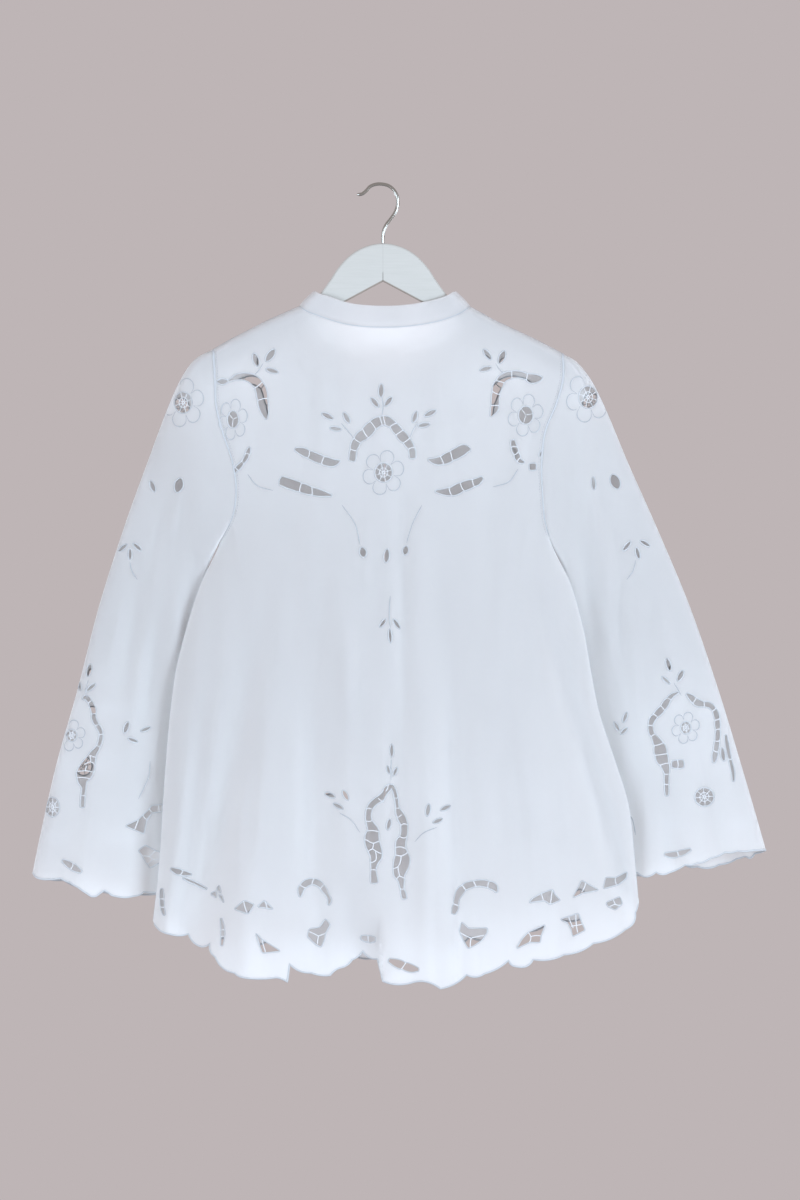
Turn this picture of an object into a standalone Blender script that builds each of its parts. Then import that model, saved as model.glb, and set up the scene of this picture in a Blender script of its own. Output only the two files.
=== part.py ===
# Cutwork tablecloth jacket hanging on a white wooden hanger.
# The back of the jacket faces -Y, +X is the wearer's right side, +Z is up.
# The origin is the inner top of the hook, where a rail carries the hanger.
# Tables are in millimetres and are turned into metres when a mesh is made.

import math

import bpy
import numpy as np
from mathutils import Vector
from mathutils.geometry import delaunay_2d_cdt

MM = 0.001

# Cloth and seams
WALL = 1.2                 # doubled, starched cotton cloth
COLLAR_WALL = 2.0          # two layers and an interlining
SEAM_GAP = 0.3             # between pieces that are sewn together
FRONT_GAP = 1.0            # between the two front edges
BAR = 1.5                  # cloth left between two cells of cutwork
COLLAR_HEIGHT = 24.0
COLLAR_ROWS = 3
COLLAR_LEAN_BACK = 0.12    # the band leans towards the neck at the back
COLLAR_LEAN_FRONT = -0.2   # and at the front
NECK_HALF = 95.0

# Hanger
HANGER_THICKNESS = 10.0
HANGER_CHAMFER = 3.0
WIRE_RADIUS = 1.9

# The cloth rolls over the hanger's arms along the shoulder line
RIDGE_DROP = 9.4           # height of the roll
RIDGE_DEPTH = 8.2          # depth of the roll, to each side
ROLL_END = RIDGE_DROP * math.pi / 2
ROLL_SHIFT = RIDGE_DROP * (math.pi / 2 - 1)
UNDERARM_HALF = 0.9        # half the gap between back and front at the underarm

BACK = -1
FRONT = 1

# Top edge of the hung jacket: x, z
SHOULDER_LINE = (
    (-300, -330), (-250, -280), (-232, -237), (-222, -214), (-206, -192), (-168, -170),
    (-125, -148), (-91, -133), (-60, -117), (0, -100), (62, -117), (96, -133), (123, -148),
    (170, -170), (212, -192), (230, -214), (241, -236), (260, -280), (320, -330),
)

# Width of the body at each height: z, left edge, right edge, reach
# reach 1 closes the body at its edges, more leaves it open towards the sleeve
BODY_WIDTH = (
    (-900, -257, 284, 1.0), (-810, -252, 284, 1.0), (-785, -249, 282, 1.0),
    (-730, -244, 277, 1.0), (-680, -241, 271, 1.0), (-635, -238, 257, 1.0),
    (-580, -233, 239, 1.0), (-535, -227, 230, 1.0), (-490, -216, 222, 1.0),
    (-440, -200, 208, 1.0), (-388, -177, 185, 1.0), (-350, -177, 184, 1.1),
    (-300, -178, 186, 1.4), (-215, -184, 196, 2.6), (-90, -184, 198, 3.0),
)

# How far the cloth stands out from the hanger's plane: drop below the
# shoulder line, back, front
BODY_DEPTH = (
    (0, 0, 0), (20, 1, 1), (60, 5, 5), (150, 14, 12), (300, 28, 24), (450, 38, 34),
    (600, 46, 42), (800, 52, 48),
)

# Armhole seams: z, left x, right x
ARMHOLE = (
    (-388, -177, 185), (-370, -167, 180), (-340, -161, 177), (-304, -165, 176),
    (-270, -176, 180), (-240, -183, 192), (-215, -184, 199), (-181, -186, 199),
)
UNDERARM = -388

# Neck seam on the back and on the fronts: x, z
NECK_BACK = (
    (-91, -133), (-88.5, -134.5), (-84, -137.5), (-70, -143), (-42, -152), (1, -156),
    (42, -153), (72, -146), (89, -138.5), (94, -135), (97, -133.5),
)
NECK_FRONT = (
    (-91, -133), (-89.5, -134.5), (-87, -141), (-80, -157), (-62, -187), (-34, -208),
    (3, -216), (40, -208), (68, -187), (86, -157), (93, -141), (95.5, -135), (97, -133.5),
)
CENTRE_FRONT = 3

# Scalloped edges: x and z of the end of each scallop, and how far it bulges
BACK_HEM = (
    (-252, -811, 0), (-211, -827, 6), (-189, -834, 4), (-108, -875, 14), (-103, -857, 0),
    (-50, -858, 11), (-22, -843, -2), (-5, -851, 3), (1, -875, 0), (34, -878, 3),
    (64, -886, -4), (93, -869, 3), (139, -852, 4), (166, -851, 5), (200, -846, 3),
    (232, -834, 3), (268, -819, 3), (279, -801, 4), (283, -783, 1),
)
LEFT_CUFF = (
    (-385, -757, 0), (-339, -770, 3), (-308, -776, -4), (-304, -783, 1),
    (-264, -779, 3), (-240, -780, 3),
)
RIGHT_CUFF = (
    (270, -758, 0), (284, -757, 3), (300, -757, 5), (331, -748, 3), (370, -746, 4),
    (394, -739, 2), (411, -737, 3), (424, -731, 2),
)
FRONT_SCALLOP = 44         # width of a scallop on the fronts
FRONT_SCALLOP_DEPTH = 9
FRONT_HEM_DROP = 22        # how far the hem sweeps down from a straight line
FRONT_HEM_LOW = -846       # its height at the centre front

# Folds: x and z of the top, x and z of the foot, half width, rise
# rise is outwards where it is positive, and run 1 carries it on to the hem
BACK_FOLDS = (
    (-192, -412, -233, -753, 14, 4, 1), (-178, -456, -211, -710, 12, -6, 1),
    (-107, -357, -184, -720, 20, -13, 1), (-112, -500, -140, -726, 22, 9, 1),
    (-85, -368, -72, -753, 22, -14, 1), (-38, -440, -36, -640, 11, 6, 0),
    (20, -242, 25, -700, 9, -5, 0), (42, -440, 52, -800, 14, 8, 1),
    (69, -363, 80, -780, 14, -11, 1), (130, -400, 165, -640, 36, 10, 1),
    (137, -341, 240, -687, 15, -10, 1), (195, -470, 262, -700, 13, 5, 1),
    (-30, -735, -30, -850, 24, -20, 1),
)
FRONT_FOLDS = (
    (-150, -330, -196, -700, 18, -12, 1), (-110, -420, -130, -720, 24, 10, 1),
    (-70, -360, -62, -740, 18, -11, 1), (-20, -470, -24, -760, 14, 6, 1),
    (58, -350, 60, -740, 18, -12, 1), (100, -430, 120, -730, 24, 9, 1),
    (140, -340, 190, -700, 16, -11, 1),
)
LEFT_SLEEVE_FOLDS = (
    (-261, -400, -292, -600, 11, -6, 0), (-246, -450, -266, -640, 9, -5, 0),
    (-222, -380, -232, -600, 12, 6, 0), (-300, -600, -330, -765, 18, 5, 1),
    (-262, -600, -256, -780, 14, -8, 1),
)
RIGHT_SLEEVE_FOLDS = (
    (212, -340, 258, -620, 12, -7, 0), (234, -350, 270, -520, 12, 5, 0),
    (256, -400, 268, -560, 9, -5, 0), (300, -620, 322, -745, 12, -5, 1),
    (350, -560, 380, -730, 20, 5, 1),
)
# The hem's lapped fold: the cloth left of it lies behind the cloth right of it
LAP_X = -1.0
LAP_TOP = -800.0
LAP_FOOT = -846.0
LAP_DEPTH = 12.0
LAP_REACH = 30.0

# Sleeve rings from the armhole to past the cuff:
# outer x, outer z, inner x, inner z, centre y, half depth
LEFT_RINGS = (
    (-186, -181, -177.5, -388, 0, 17), (-206, -192, -188, -403, 1, 18),
    (-222, -214, -194, -425, 5, 19), (-238, -250, -201, -455, 12, 18),
    (-258, -303, -212, -500, 18, 16), (-284, -375, -224, -560, 20, 16),
    (-312, -463, -230, -620, 21, 17), (-336, -556, -234, -680, 22, 19),
    (-361, -645, -236, -735, 23, 21), (-386, -760, -240, -795, 24, 24),
    (-391, -800, -242, -830, 24, 25),
)
RIGHT_RINGS = (
    (199, -185, 185.5, -388, 0, 17), (214, -194, 195, -403, 1, 18),
    (230, -214, 202, -425, 5, 19), (248, -250, 209, -455, 12, 18),
    (271, -305, 218, -500, 18, 16), (303, -377, 229, -560, 20, 16),
    (339, -463, 244, -615, 21, 17), (371, -556, 258, -665, 22, 19),
    (398, -645, 268, -705, 23, 21), (424, -735, 270, -765, 24, 24),
    (433, -775, 270, -795, 24, 25),
)
INNER_FLATNESS = 0.35      # a sleeve is flatter towards its inner edge
SEAM_FADE = 0.3            # share of the sleeve over which the armhole's curve fades

# Leaf-shaped eyelets: piece, x, z, length, width, tilt from upright in degrees
LEAVES = (
    ("back", -1, -226, 14, 4.6, 0), ("back", -8, -239, 12, 4.6, -38),
    ("back", 7, -238, 12, 4.6, 38), ("back", -60, -254, 14, 4.8, -64),
    ("back", -39, -256, 13, 4.8, -28), ("back", -51, -268, 13, 4.6, -82),
    ("back", 36, -255, 13, 4.6, 18), ("back", 53, -251, 14, 4.8, 64),
    ("back", 46, -264, 13, 4.6, 80),
    ("back", -139, -192, 14, 6, -18), ("back", -123, -187, 15, 6, 36),
    ("back", -121, -204, 14, 5, -74), ("back", 116, -186, 14, 5, -36),
    ("back", 132, -189, 15, 6, 24), ("back", 114, -202, 13, 4.6, 76),
    ("back", -21, -404, 12, 8, -10), ("back", 5, -408, 16, 6, 6),
    ("back", 26, -402, 11, 7, 10), ("back", 1, -482, 11, 4.4, 36),
    ("back", 16, -483, 13, 4.4, -33), ("back", 9, -496, 15, 4.4, -4),
    ("back", 11, -624, 15, 4.4, 0), ("back", 6, -643, 11, 4.4, -24),
    ("back", 15, -645, 11, 4.4, 22), ("back", -40, -671, 12, 5, -28),
    ("back", -57, -671, 12, 5, -70), ("back", -48, -683, 12, 4.4, -62),
    ("back", 51, -686, 13, 5, 16), ("back", 69, -684, 12, 4.6, 60),
    ("back", 60, -699, 12, 4.4, 66), ("back", 8, -706, 14, 5, 0),
    ("sleeve_left_back", -224, -330, 16, 10, 14), ("sleeve_left_back", -253, -331, 13, 5, -20),
    ("sleeve_left_back", -286, -399, 12, 4.4, 50), ("sleeve_left_back", -278, -406, 12, 4.4, 0),
    ("sleeve_left_back", -270, -398, 12, 4.4, -50),
    ("sleeve_left_back", -320, -534, 14, 5, 12), ("sleeve_left_back", -331, -551, 12, 4.6, -14),
    ("sleeve_left_back", -316, -553, 13, 4.6, 52),
    ("sleeve_left_back", -282, -597, 14, 5, 20), ("sleeve_left_back", -275, -611, 12, 4.4, -78),
    ("sleeve_left_back", -261, -597, 12, 4.4, 66),
    ("sleeve_right_back", 257, -326, 17, 11, -22), ("sleeve_right_back", 233, -328, 14, 4.6, -4),
    ("sleeve_right_back", 270, -397, 13, 4.4, 40), ("sleeve_right_back", 282, -405, 13, 4.4, -14),
    ("sleeve_right_back", 290, -394, 12, 4.4, -60),
    ("sleeve_right_back", 316, -527, 14, 4.6, -14), ("sleeve_right_back", 329, -540, 12, 4.6, 26),
    ("sleeve_right_back", 311, -544, 13, 4.4, -48),
    ("sleeve_right_back", 268, -586, 12, 4.4, 20), ("sleeve_right_back", 259, -596, 11, 4.4, -30),
    ("sleeve_right_back", 267, -601, 10, 4.4, 46),
    ("front_left", -134, -196, 14, 5, -18), ("front_left", -118, -192, 14, 5, 36),
    ("front_left", -72, -520, 13, 5, -30), ("front_left", -60, -512, 14, 5, 0),
    ("front_left", -48, -520, 13, 5, 30),
    ("front_right", 116, -192, 14, 5, -36), ("front_right", 132, -196, 14, 5, 22),
    ("front_right", 54, -520, 13, 5, -30), ("front_right", 66, -512, 14, 5, 0),
    ("front_right", 78, -520, 13, 5, 30),
    ("sleeve_left_front", -322, -540, 14, 5, 0), ("sleeve_left_front", -308, -548, 13, 5, 40),
    ("sleeve_right_front", 320, -536, 14, 5, 0), ("sleeve_right_front", 334, -544, 13, 5, 40),
)

# Round openings that hold a needle-woven wheel: piece, x, z, half width, half height
WHEELS = (
    ("back", 2, -316, 9.4, 10.5), ("back", -164, -257, 6, 9), ("back", 158, -253, 7.5, 9.4),
    ("sleeve_left_back", -219, -239, 9.4, 11.5), ("sleeve_left_back", -341, -605, 5.5, 6.5),
    ("sleeve_left_back", -358, -683, 7, 11), ("sleeve_right_back", 227, -233, 10, 12),
    ("sleeve_right_back", 336, -597, 5.5, 6.6), ("sleeve_right_back", 355, -674, 10, 10.5),
    ("front_left", -120, -300, 9, 10), ("front_right", 126, -300, 9, 10),
    ("sleeve_left_front", -222, -245, 9, 11), ("sleeve_right_front", 231, -240, 9, 11),
    ("sleeve_left_front", -330, -640, 9, 10), ("sleeve_right_front", 345, -640, 9, 10),
)

# Open bands crossed by bars: piece, cells, half width, route of (x, z)
BANDS = (
    ("back", 10, 4.4, ((-32, -304), (-29, -288), (-20, -275), (-10, -263), (0, -259),
                       (10, -264), (19, -274), (26, -284), (33, -299))),
    ("back", 3, 3.9, ((-98, -291), (-72, -300), (-45, -304))),
    ("back", 4, 4.0, ((-113, -323), (-84, -335), (-54, -341))),
    ("back", 4, 3.9, ((49, -303), (73, -298), (97, -287))),
    ("back", 4, 4.0, ((58, -338), (84, -333), (111, -320))),
    ("back", 6, 4.2, ((-171, -217), (-154, -210), (-138, -214), (-129, -230), (-127, -257))),
    ("back", 3, 3.4, ((-145, -288), (-149, -301), (-158, -310))),
    ("back", 6, 4.2, ((121, -255), (123, -233), (128, -217), (142, -209), (160, -210),
                      (178, -213))),
    ("back", 4, 3.6, ((144, -281), (149, -296), (158, -304), (167, -299))),
    ("back", 18, 3.0, ((-8, -768), (-12, -756), (-10, -742), (-17, -724), (-13, -709),
                       (-15, -694), (-10, -681), (-1, -673), (8, -667), (15, -673), (17, -684),
                       (22, -698), (24, -712), (21, -726), (20, -745), (20, -760),
                       (24, -781))),
    ("back", 5, 3.3, ((-87, -783), (-89, -772), (-79, -765), (-66, -769), (-59, -780),
                      (-57, -792))),
    ("back", 6, 3.5, ((79, -803), (82, -789), (86, -777), (95, -769), (108, -766), (120, -769),
                      (126, -778))),
    ("back", 2, 4.2, ((8, -852), (24, -858), (39, -862))),
    ("back", 2, 3.8, ((-22, -828), (-8, -829))),
    ("back", 2, 3.4, ((-232, -749), (-222, -753), (-211, -759))),
    ("back", 3, 3.4, ((-243, -777), (-240, -790), (-242, -803))),
    ("back", 3, 2.6, ((-177, -806), (-176, -824), (-171, -837))),
    ("sleeve_left_back", 9, 2.6, ((-326, -570), (-319, -577), (-319, -590), (-311, -600),
                                  (-311, -612), (-321, -625), (-326, -640), (-338, -650),
                                  (-330, -662), (-331, -686))),
    ("sleeve_left_back", 2, 4.0, ((-350, -746), (-333, -755))),
    ("sleeve_right_back", 10, 3.0, ((326, -560), (315, -565), (309, -577), (298, -587),
                                    (296, -599), (299, -611), (307, -620), (309, -634),
                                    (313, -650), (314, -672))),
    ("sleeve_right_back", 2, 3.2, ((318, -640), (331, -641))),
    ("sleeve_right_back", 7, 2.8, ((337, -558), (347, -565), (359, -571), (368, -581),
                                   (370, -594), (368, -616), (366, -636))),
    ("sleeve_right_back", 2, 3.0, ((312, -738), (326, -737), (339, -732))),
    ("front_left", 4, 4.2, ((-166, -224), (-148, -214), (-132, -219), (-124, -236),
                            (-122, -262))),
    ("front_right", 4, 4.2, ((119, -262), (121, -240), (130, -220), (148, -213), (170, -222))),
    ("front_left", 5, 4.0, ((-78, -716), (-80, -690), (-68, -672), (-56, -666), (-44, -672),
                            (-34, -690), (-36, -716))),
    ("front_right", 5, 4.0, ((42, -716), (40, -690), (52, -672), (62, -666), (74, -672),
                             (86, -690), (84, -716))),
    ("sleeve_left_front", 3, 3.4, ((-340, -590), (-322, -578), (-306, -590), (-302, -612))),
    ("sleeve_right_front", 3, 3.4, ((318, -612), (322, -590), (340, -578), (358, -588))),
)

# Shields and stars cut in the border: piece, corners as (x, z)
SHIELDS = (
    ("back", ((-83, -812), (-57, -808), (-63, -834), (-77, -835))),
    ("back", ((86, -811), (114, -814), (108, -837), (93, -838))),
    ("back", ((162, -791), (175, -779), (196, -774), (189, -788))),
    ("back", ((209, -782), (222, -766), (236, -772))),
    ("back", ((243, -773), (253, -760), (269, -757), (263, -770))),
    ("back", ((149, -837), (158, -820), (179, -813), (175, -831))),
    ("back", ((196, -808), (223, -802), (217, -825), (203, -824))),
    ("back", ((247, -786), (263, -783), (261, -795), (251, -798))),
    ("back", ((-188, -781), (-179, -769), (-174, -790))),
    ("back", ((-162, -796), (-152, -785), (-140, -790), (-146, -802))),
    ("back", ((-137, -795), (-129, -786), (-118, -796))),
    ("back", ((-139, -822), (-127, -828), (-112, -843), (-131, -847))),
    ("sleeve_left_back", ((-284, -706), (-265, -692), (-253, -684), (-260, -714))),
    ("sleeve_left_back", ((-270, -732), (-247, -733), (-248, -746), (-261, -753))),
    ("front_left", ((-215, -790), (-198, -780), (-182, -792), (-198, -802))),
    ("front_left", ((-158, -808), (-141, -798), (-125, -810), (-141, -820))),
    ("front_right", ((140, -806), (157, -796), (173, -808), (157, -818))),
    ("front_right", ((202, -786), (219, -776), (235, -788), (219, -798))),
    ("sleeve_left_front", ((-338, -720), (-322, -710), (-306, -722), (-322, -732))),
    ("sleeve_right_front", ((338, -706), (354, -696), (370, -708), (354, -718))),
)

# Hanger outline, right half: distance from its middle, z
HANGER_MIDDLE = 1.0
HANGER_TOP = ((0, -66), (12, -67.5), (24, -72), (36, -80), (47, -92), (57, -107),
              (67, -119.5), (78, -130.5))
HANGER_ARM_LEFT = (-93, -108, -125, -150, -168)
HANGER_ARM_RIGHT = (95, 110, 125, 150, 170)
HANGER_LEFT_END = -198
HANGER_RIGHT_END = 206
HANGER_UNDERSIDE = -105.6
HANGER_END_HEIGHT = 19
# From the shoulder line down to the top of the wood: distance from the middle, clearance
ARM_CLEARANCE = ((93, 5.0), (112, 2.2), (165, 2.2), (200, 6.0))

# Hook's centreline: x, z
HOOK_ROUTE = (
    (-27.5, -9.6), (-22.0, -8.9), (-17.5, -5.4), (-13.0, -0.6), (-6.5, 1.8), (0.5, 1.9),
    (7.5, 0.0), (13.5, -5.2), (17.0, -12.5), (17.3, -20.5), (14.6, -29.0), (9.4, -36.6),
    (4.6, -43.0), (1.8, -49.5), (1.0, -57.0), (1.0, -65.7),
)
HOOK_SIDES = 10
HOOK_STEPS = 3

# Spacing of the meshes' lines
COLUMNS = 44               # lines down the body's panels
DOWN = 56.0                # between lines across the body
SQUEEZE = 0.22             # heights are pressed together where triangles are chosen
ROLL_SPREAD = 22.0         # and the roll over the hanger is drawn out
SLEEVE_SPREAD_DOWN = 150.0
SLEEVE_SPREAD_ROUND = 190.0
SLEEVE_COLUMNS = 15
SLEEVE_LEVELS = 14
CLEAR = 3.0                # least distance of a filling point from the outline
EDGE_STEP = 14.0           # between points of a scalloped edge, at most EDGE_PARTS a scallop
EDGE_PARTS = 3
FAR = 1e4                  # limit of the body's pattern, past all of it
BODY_STEP = (0.5, 0.5)     # pattern steps over which directions are measured
SLEEVE_STEP = (0.002, 0.002)
ARM_SEAM_STEP = 0.02
SEAM_TIP = (0.45, 0.02, 1.0)   # direction of the armhole's top: across, out, up

# Lines that the panels share with their neighbours
ROLL_ROWS = (0.33, 0.66, 1.0, 1.8)
LEFT_ROLL = (-176, -162, -150, -138, -126, -114, -103)
RIGHT_ROLL = (109, 120, 133, 146, 159, 172, 187)
ARM_SHARES = np.array([0, 0.06, 0.095, 0.13, 0.18, 0.26, 0.35, 0.45, 0.55, 0.65, 0.75, 0.84, 0.92, 1])
SIDE_LEVELS = (-400, -420, -445, -475, -510, -550, -595, -640, -690, -740, -780)
LEFT_SIDE_FOOT = (-811,)
SLEEVE_SIDE = (0.04, 0.09, 0.14, 0.19, 0.26, 0.34, 0.42, 0.5, 0.58, 0.66, 0.74, 0.8)
CENTRE_LEVELS = (-820, -770, -720, -670, -620, -570, -520, -470, -420, -370, -320, -270)
LAP_LEVELS = (-815, -835, -855, -868)


def clear_scene():
    for thing in list(bpy.data.objects):
        bpy.data.objects.remove(thing, do_unlink=True)


def make_material(name, colour, roughness, metallic=0.0):
    material = bpy.data.materials.new(name)
    material.use_nodes = True
    shader = material.node_tree.nodes["Principled BSDF"]
    shader.inputs["Base Color"].default_value = (*colour, 1.0)
    shader.inputs["Roughness"].default_value = roughness
    shader.inputs["Metallic"].default_value = metallic
    return material


def add_mesh(name, points, faces, material):
    mesh = bpy.data.meshes.new(name)
    mesh.from_pydata([tuple(float(c) * MM for c in point) for point in points], [], faces)
    mesh.update()
    mesh.materials.append(material)
    thing = bpy.data.objects.new(name, mesh)
    bpy.context.scene.collection.objects.link(thing)
    return thing


# A smooth curve through a table's rows, read at any height or share
def follow(keys, values, at):
    keys = np.asarray(keys, float)
    values = np.asarray(values, float)
    at = np.asarray(at, float)
    slopes = np.gradient(values, keys)
    row = np.clip(np.searchsorted(keys, at) - 1, 0, len(keys) - 2)
    step = keys[row + 1] - keys[row]
    t = np.clip((at - keys[row]) / step, 0.0, 1.0)
    start = (2 * t ** 3 - 3 * t ** 2 + 1) * values[row]
    leave = (t ** 3 - 2 * t ** 2 + t) * step * slopes[row]
    arrive = (t ** 3 - t ** 2) * step * slopes[row + 1]
    end = (3 * t ** 2 - 2 * t ** 3) * values[row + 1]
    return start + leave + arrive + end


def column(table, index):
    return [row[index] for row in table]


def ease(t):
    t = np.clip(t, 0.0, 1.0)
    return t * t * (3 - 2 * t)


def shoulder_height(x):
    return np.interp(x, column(SHOULDER_LINE, 0), column(SHOULDER_LINE, 1))


# Sum of the folds' rises at points of the view from the back
def fold_rise(folds, x, z):
    rise = np.zeros_like(x)
    for top_x, top_z, foot_x, foot_z, half_width, height, run in folds:
        t = (top_z - z) / (top_z - foot_z)
        middle = top_x + (foot_x - top_x) * np.clip(t, 0.0, 1.35)
        strength = ease(t) if run else np.sin(math.pi * np.clip(t, 0.0, 1.0)) ** 2
        rise += height * strength * np.exp(-((x - middle) / half_width) ** 2)
    return rise


# The hem's lap: a deep recess that ends in a sharp edge
def lap_rise(x, z):
    strength = ease((LAP_TOP - z) / (LAP_TOP - LAP_FOOT))
    behind = ease((LAP_X + 1.5 - x) / 3.0)
    return -LAP_DEPTH * strength * behind * np.exp(-((x - LAP_X) / LAP_REACH) ** 2)


# Body cloth. The pattern is a, sideways from the middle, and q, the height
class Body:
    def __init__(self, side, folds):
        self.side = side
        self.folds = folds

    def width(self, level):
        keys = column(BODY_WIDTH, 0)
        left = follow(keys, column(BODY_WIDTH, 1), level)
        right = follow(keys, column(BODY_WIDTH, 2), level)
        reach = follow(keys, column(BODY_WIDTH, 3), level)
        return (left + right) / 2, (right - left) / 2 * np.maximum(reach, 1.0)

    def place(self, a, q):
        level = q + ROLL_SHIFT
        centre, wide = self.width(level)
        x = centre + wide * np.sin(a / wide)
        pinch = np.cos(a / wide)
        ridge = shoulder_height(x)
        drop = ridge - q
        roll = np.clip(drop / RIDGE_DROP, -0.4, math.pi / 2)
        z = np.where(drop < ROLL_END, ridge - RIDGE_DROP * (1 - np.cos(roll)), level)
        depth_column = 1 if self.side == BACK else 2
        depth = follow(column(BODY_DEPTH, 0), column(BODY_DEPTH, depth_column), drop)
        out = (RIDGE_DEPTH * np.sin(roll) + depth) * pinch
        rise = fold_rise(self.folds, x, z)
        if self.side == BACK:
            rise = rise + lap_rise(x, z)
        out = out + rise * ease(pinch / 0.55) * ease(drop / 120)
        return np.stack([x, self.side * (SEAM_GAP / 2 + out), z], -1)

    def pattern(self, x, z):
        x = np.asarray(x, float)
        z = np.asarray(z, float)
        ridge = shoulder_height(x)
        share = np.clip(1 - (ridge - z) / RIDGE_DROP, 0.0, 1.0)
        rolled = ridge - RIDGE_DROP * np.arccos(share)
        q = np.where(ridge - z < RIDGE_DROP, rolled, z - ROLL_SHIFT)
        centre, wide = self.width(q + ROLL_SHIFT)
        a = wide * np.arcsin(np.clip((x - centre) / wide, -1.0, 1.0))
        return np.stack([a, q], -1)

    # Flat place where triangles are chosen: the roll is drawn out, heights are short
    def spread(self, at):
        centre, wide = self.width(at[:, 1] + ROLL_SHIFT)
        x = centre + wide * np.sin(at[:, 0] / wide)
        drop = shoulder_height(x) - at[:, 1]
        down = drop * SQUEEZE + ROLL_SPREAD * (1 - np.exp(-np.maximum(drop, 0) / ROLL_END))
        return np.stack([at[:, 0], -down], -1)

    def edge(self, hand, z):
        q = np.asarray(z, float) - ROLL_SHIFT
        wide = self.width(q + ROLL_SHIFT)[1]
        return np.stack([hand * wide * math.pi / 2, q], -1)


# Point of an armhole seam, and its share from 0 at the top to 1 at the underarm
def armhole_view(hand, share):
    keys = column(ARMHOLE, 0)
    top = shoulder_height(ARMHOLE[-1][1 if hand < 0 else 2])
    z = top + (UNDERARM - top) * (1 - np.cos(math.pi * np.asarray(share, float))) / 2
    x = follow(keys, column(ARMHOLE, 1 if hand < 0 else 2), z)
    return x, z


def armhole_point(body, hand, share):
    x, z = armhole_view(hand, share)
    at = body.pattern(x, z)
    point = body.place(at[..., 0], at[..., 1])
    least = SEAM_GAP / 2 + (UNDERARM_HALF - SEAM_GAP / 2) * ease((np.asarray(share) - 0.5) * 2)
    point[..., 1] = body.side * np.maximum(np.abs(point[..., 1]), least)
    return point


# Sleeve cloth. The pattern is share down the sleeve and share round it
class Sleeve:
    def __init__(self, side, hand, rings, folds, body):
        self.side = side
        self.hand = hand
        self.rings = rings
        self.folds = folds
        self.body = body

    def ring(self, down, round_):
        keys = np.linspace(0.0, 1.0, len(self.rings))
        outer_x, outer_z, inner_x, inner_z, centre, half = [
            follow(keys, column(self.rings, i), down) for i in range(6)]
        t = (1 - np.cos(math.pi * round_)) / 2
        x = outer_x + (inner_x - outer_x) * t
        z = outer_z + (inner_z - outer_z) * t
        out = half * np.sin(math.pi * round_) * (1 - INNER_FLATNESS * round_)
        return np.stack([x, centre + self.side * (SEAM_GAP / 2 + out), z], -1)

    def place(self, down, round_):
        down = np.asarray(down, float)
        round_ = np.asarray(round_, float)
        point = self.ring(down, round_)
        start = self.ring(np.zeros_like(round_), round_)
        seam = armhole_point(self.body, self.hand, np.clip(round_, 0.0, 1.0))
        seam[..., 0] += self.hand * SEAM_GAP
        fade = 1 - ease(down / SEAM_FADE)
        point = point + (seam - start) * fade[..., None]
        rise = fold_rise(self.folds, point[..., 0], point[..., 2])
        rise = rise * ease(np.sin(math.pi * round_) / 0.6) * ease(down / 0.15)
        point[..., 1] += self.side * rise
        return point

    def spread(self, at):
        return np.stack([at[:, 0] * SLEEVE_SPREAD_DOWN, at[:, 1] * SLEEVE_SPREAD_ROUND], -1)

    # The pattern share that shows at a point of the view, by Newton's steps
    def pattern(self, x, z):
        x = np.atleast_1d(np.asarray(x, float))
        z = np.atleast_1d(np.asarray(z, float))
        down, round_ = np.meshgrid(np.linspace(0, 1, 41), np.linspace(0.02, 0.98, 25))
        down, round_ = down.ravel(), round_.ravel()
        known = self.place(down, round_)
        near = [int(np.argmin((known[:, 0] - u) ** 2 + (known[:, 2] - v) ** 2))
                for u, v in zip(x, z)]
        down, round_ = down[near], round_[near]
        step = 1e-4
        for _ in range(12):
            here = self.place(down, round_)
            by_down = (self.place(down + step, round_) - here) / step
            by_round = (self.place(down, round_ + step) - here) / step
            miss_x, miss_z = x - here[:, 0], z - here[:, 2]
            det = by_down[:, 0] * by_round[:, 2] - by_round[:, 0] * by_down[:, 2]
            det = np.where(np.abs(det) < 1e-6, 1e-6, det)
            down = down + np.clip(
                (miss_x * by_round[:, 2] - miss_z * by_round[:, 0]) / det, -0.08, 0.08)
            round_ = round_ + np.clip(
                (miss_z * by_down[:, 0] - miss_x * by_down[:, 2]) / det, -0.08, 0.08)
            down = np.clip(down, 0.0, 1.0)
            round_ = np.clip(round_, 0.0, 1.0)
        return np.stack([down, round_], -1)


def unit(vectors):
    length = np.linalg.norm(vectors, axis=-1, keepdims=True)
    return vectors / np.maximum(length, 1e-9)


# Outward directions of a cloth at pattern points
def cloth_normals(cloth, at, step, low, high):
    before_u = np.clip(at - np.array([step[0], 0]), low, high)
    after_u = np.clip(at + np.array([step[0], 0]), low, high)
    before_v = np.clip(at - np.array([0, step[1]]), low, high)
    after_v = np.clip(at + np.array([0, step[1]]), low, high)
    along_u = cloth.place(after_u[:, 0], after_u[:, 1]) - cloth.place(before_u[:, 0], before_u[:, 1])
    along_v = cloth.place(after_v[:, 0], after_v[:, 1]) - cloth.place(before_v[:, 0], before_v[:, 1])
    return unit(np.cross(along_u, along_v))


# Which points lie inside a closed loop
def inside(points, loop):
    x, y = points[:, 0], points[:, 1]
    result = np.zeros(len(points), bool)
    for (x1, y1), (x2, y2) in zip(loop, np.roll(loop, -1, axis=0)):
        if y1 == y2:
            continue
        crosses = (y1 > y) != (y2 > y)
        result ^= crosses & (x < (x2 - x1) * (y - y1) / (y2 - y1) + x1)
    return result


def distance_to_loop(points, loop):
    nearest = np.full(len(points), 1e9)
    for start, end in zip(loop, np.roll(loop, -1, axis=0)):
        along = end - start
        t = np.clip((points - start) @ along / max(along @ along, 1e-12), 0, 1)
        nearest = np.minimum(nearest, np.linalg.norm(points - start - t[:, None] * along, axis=1))
    return nearest


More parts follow.
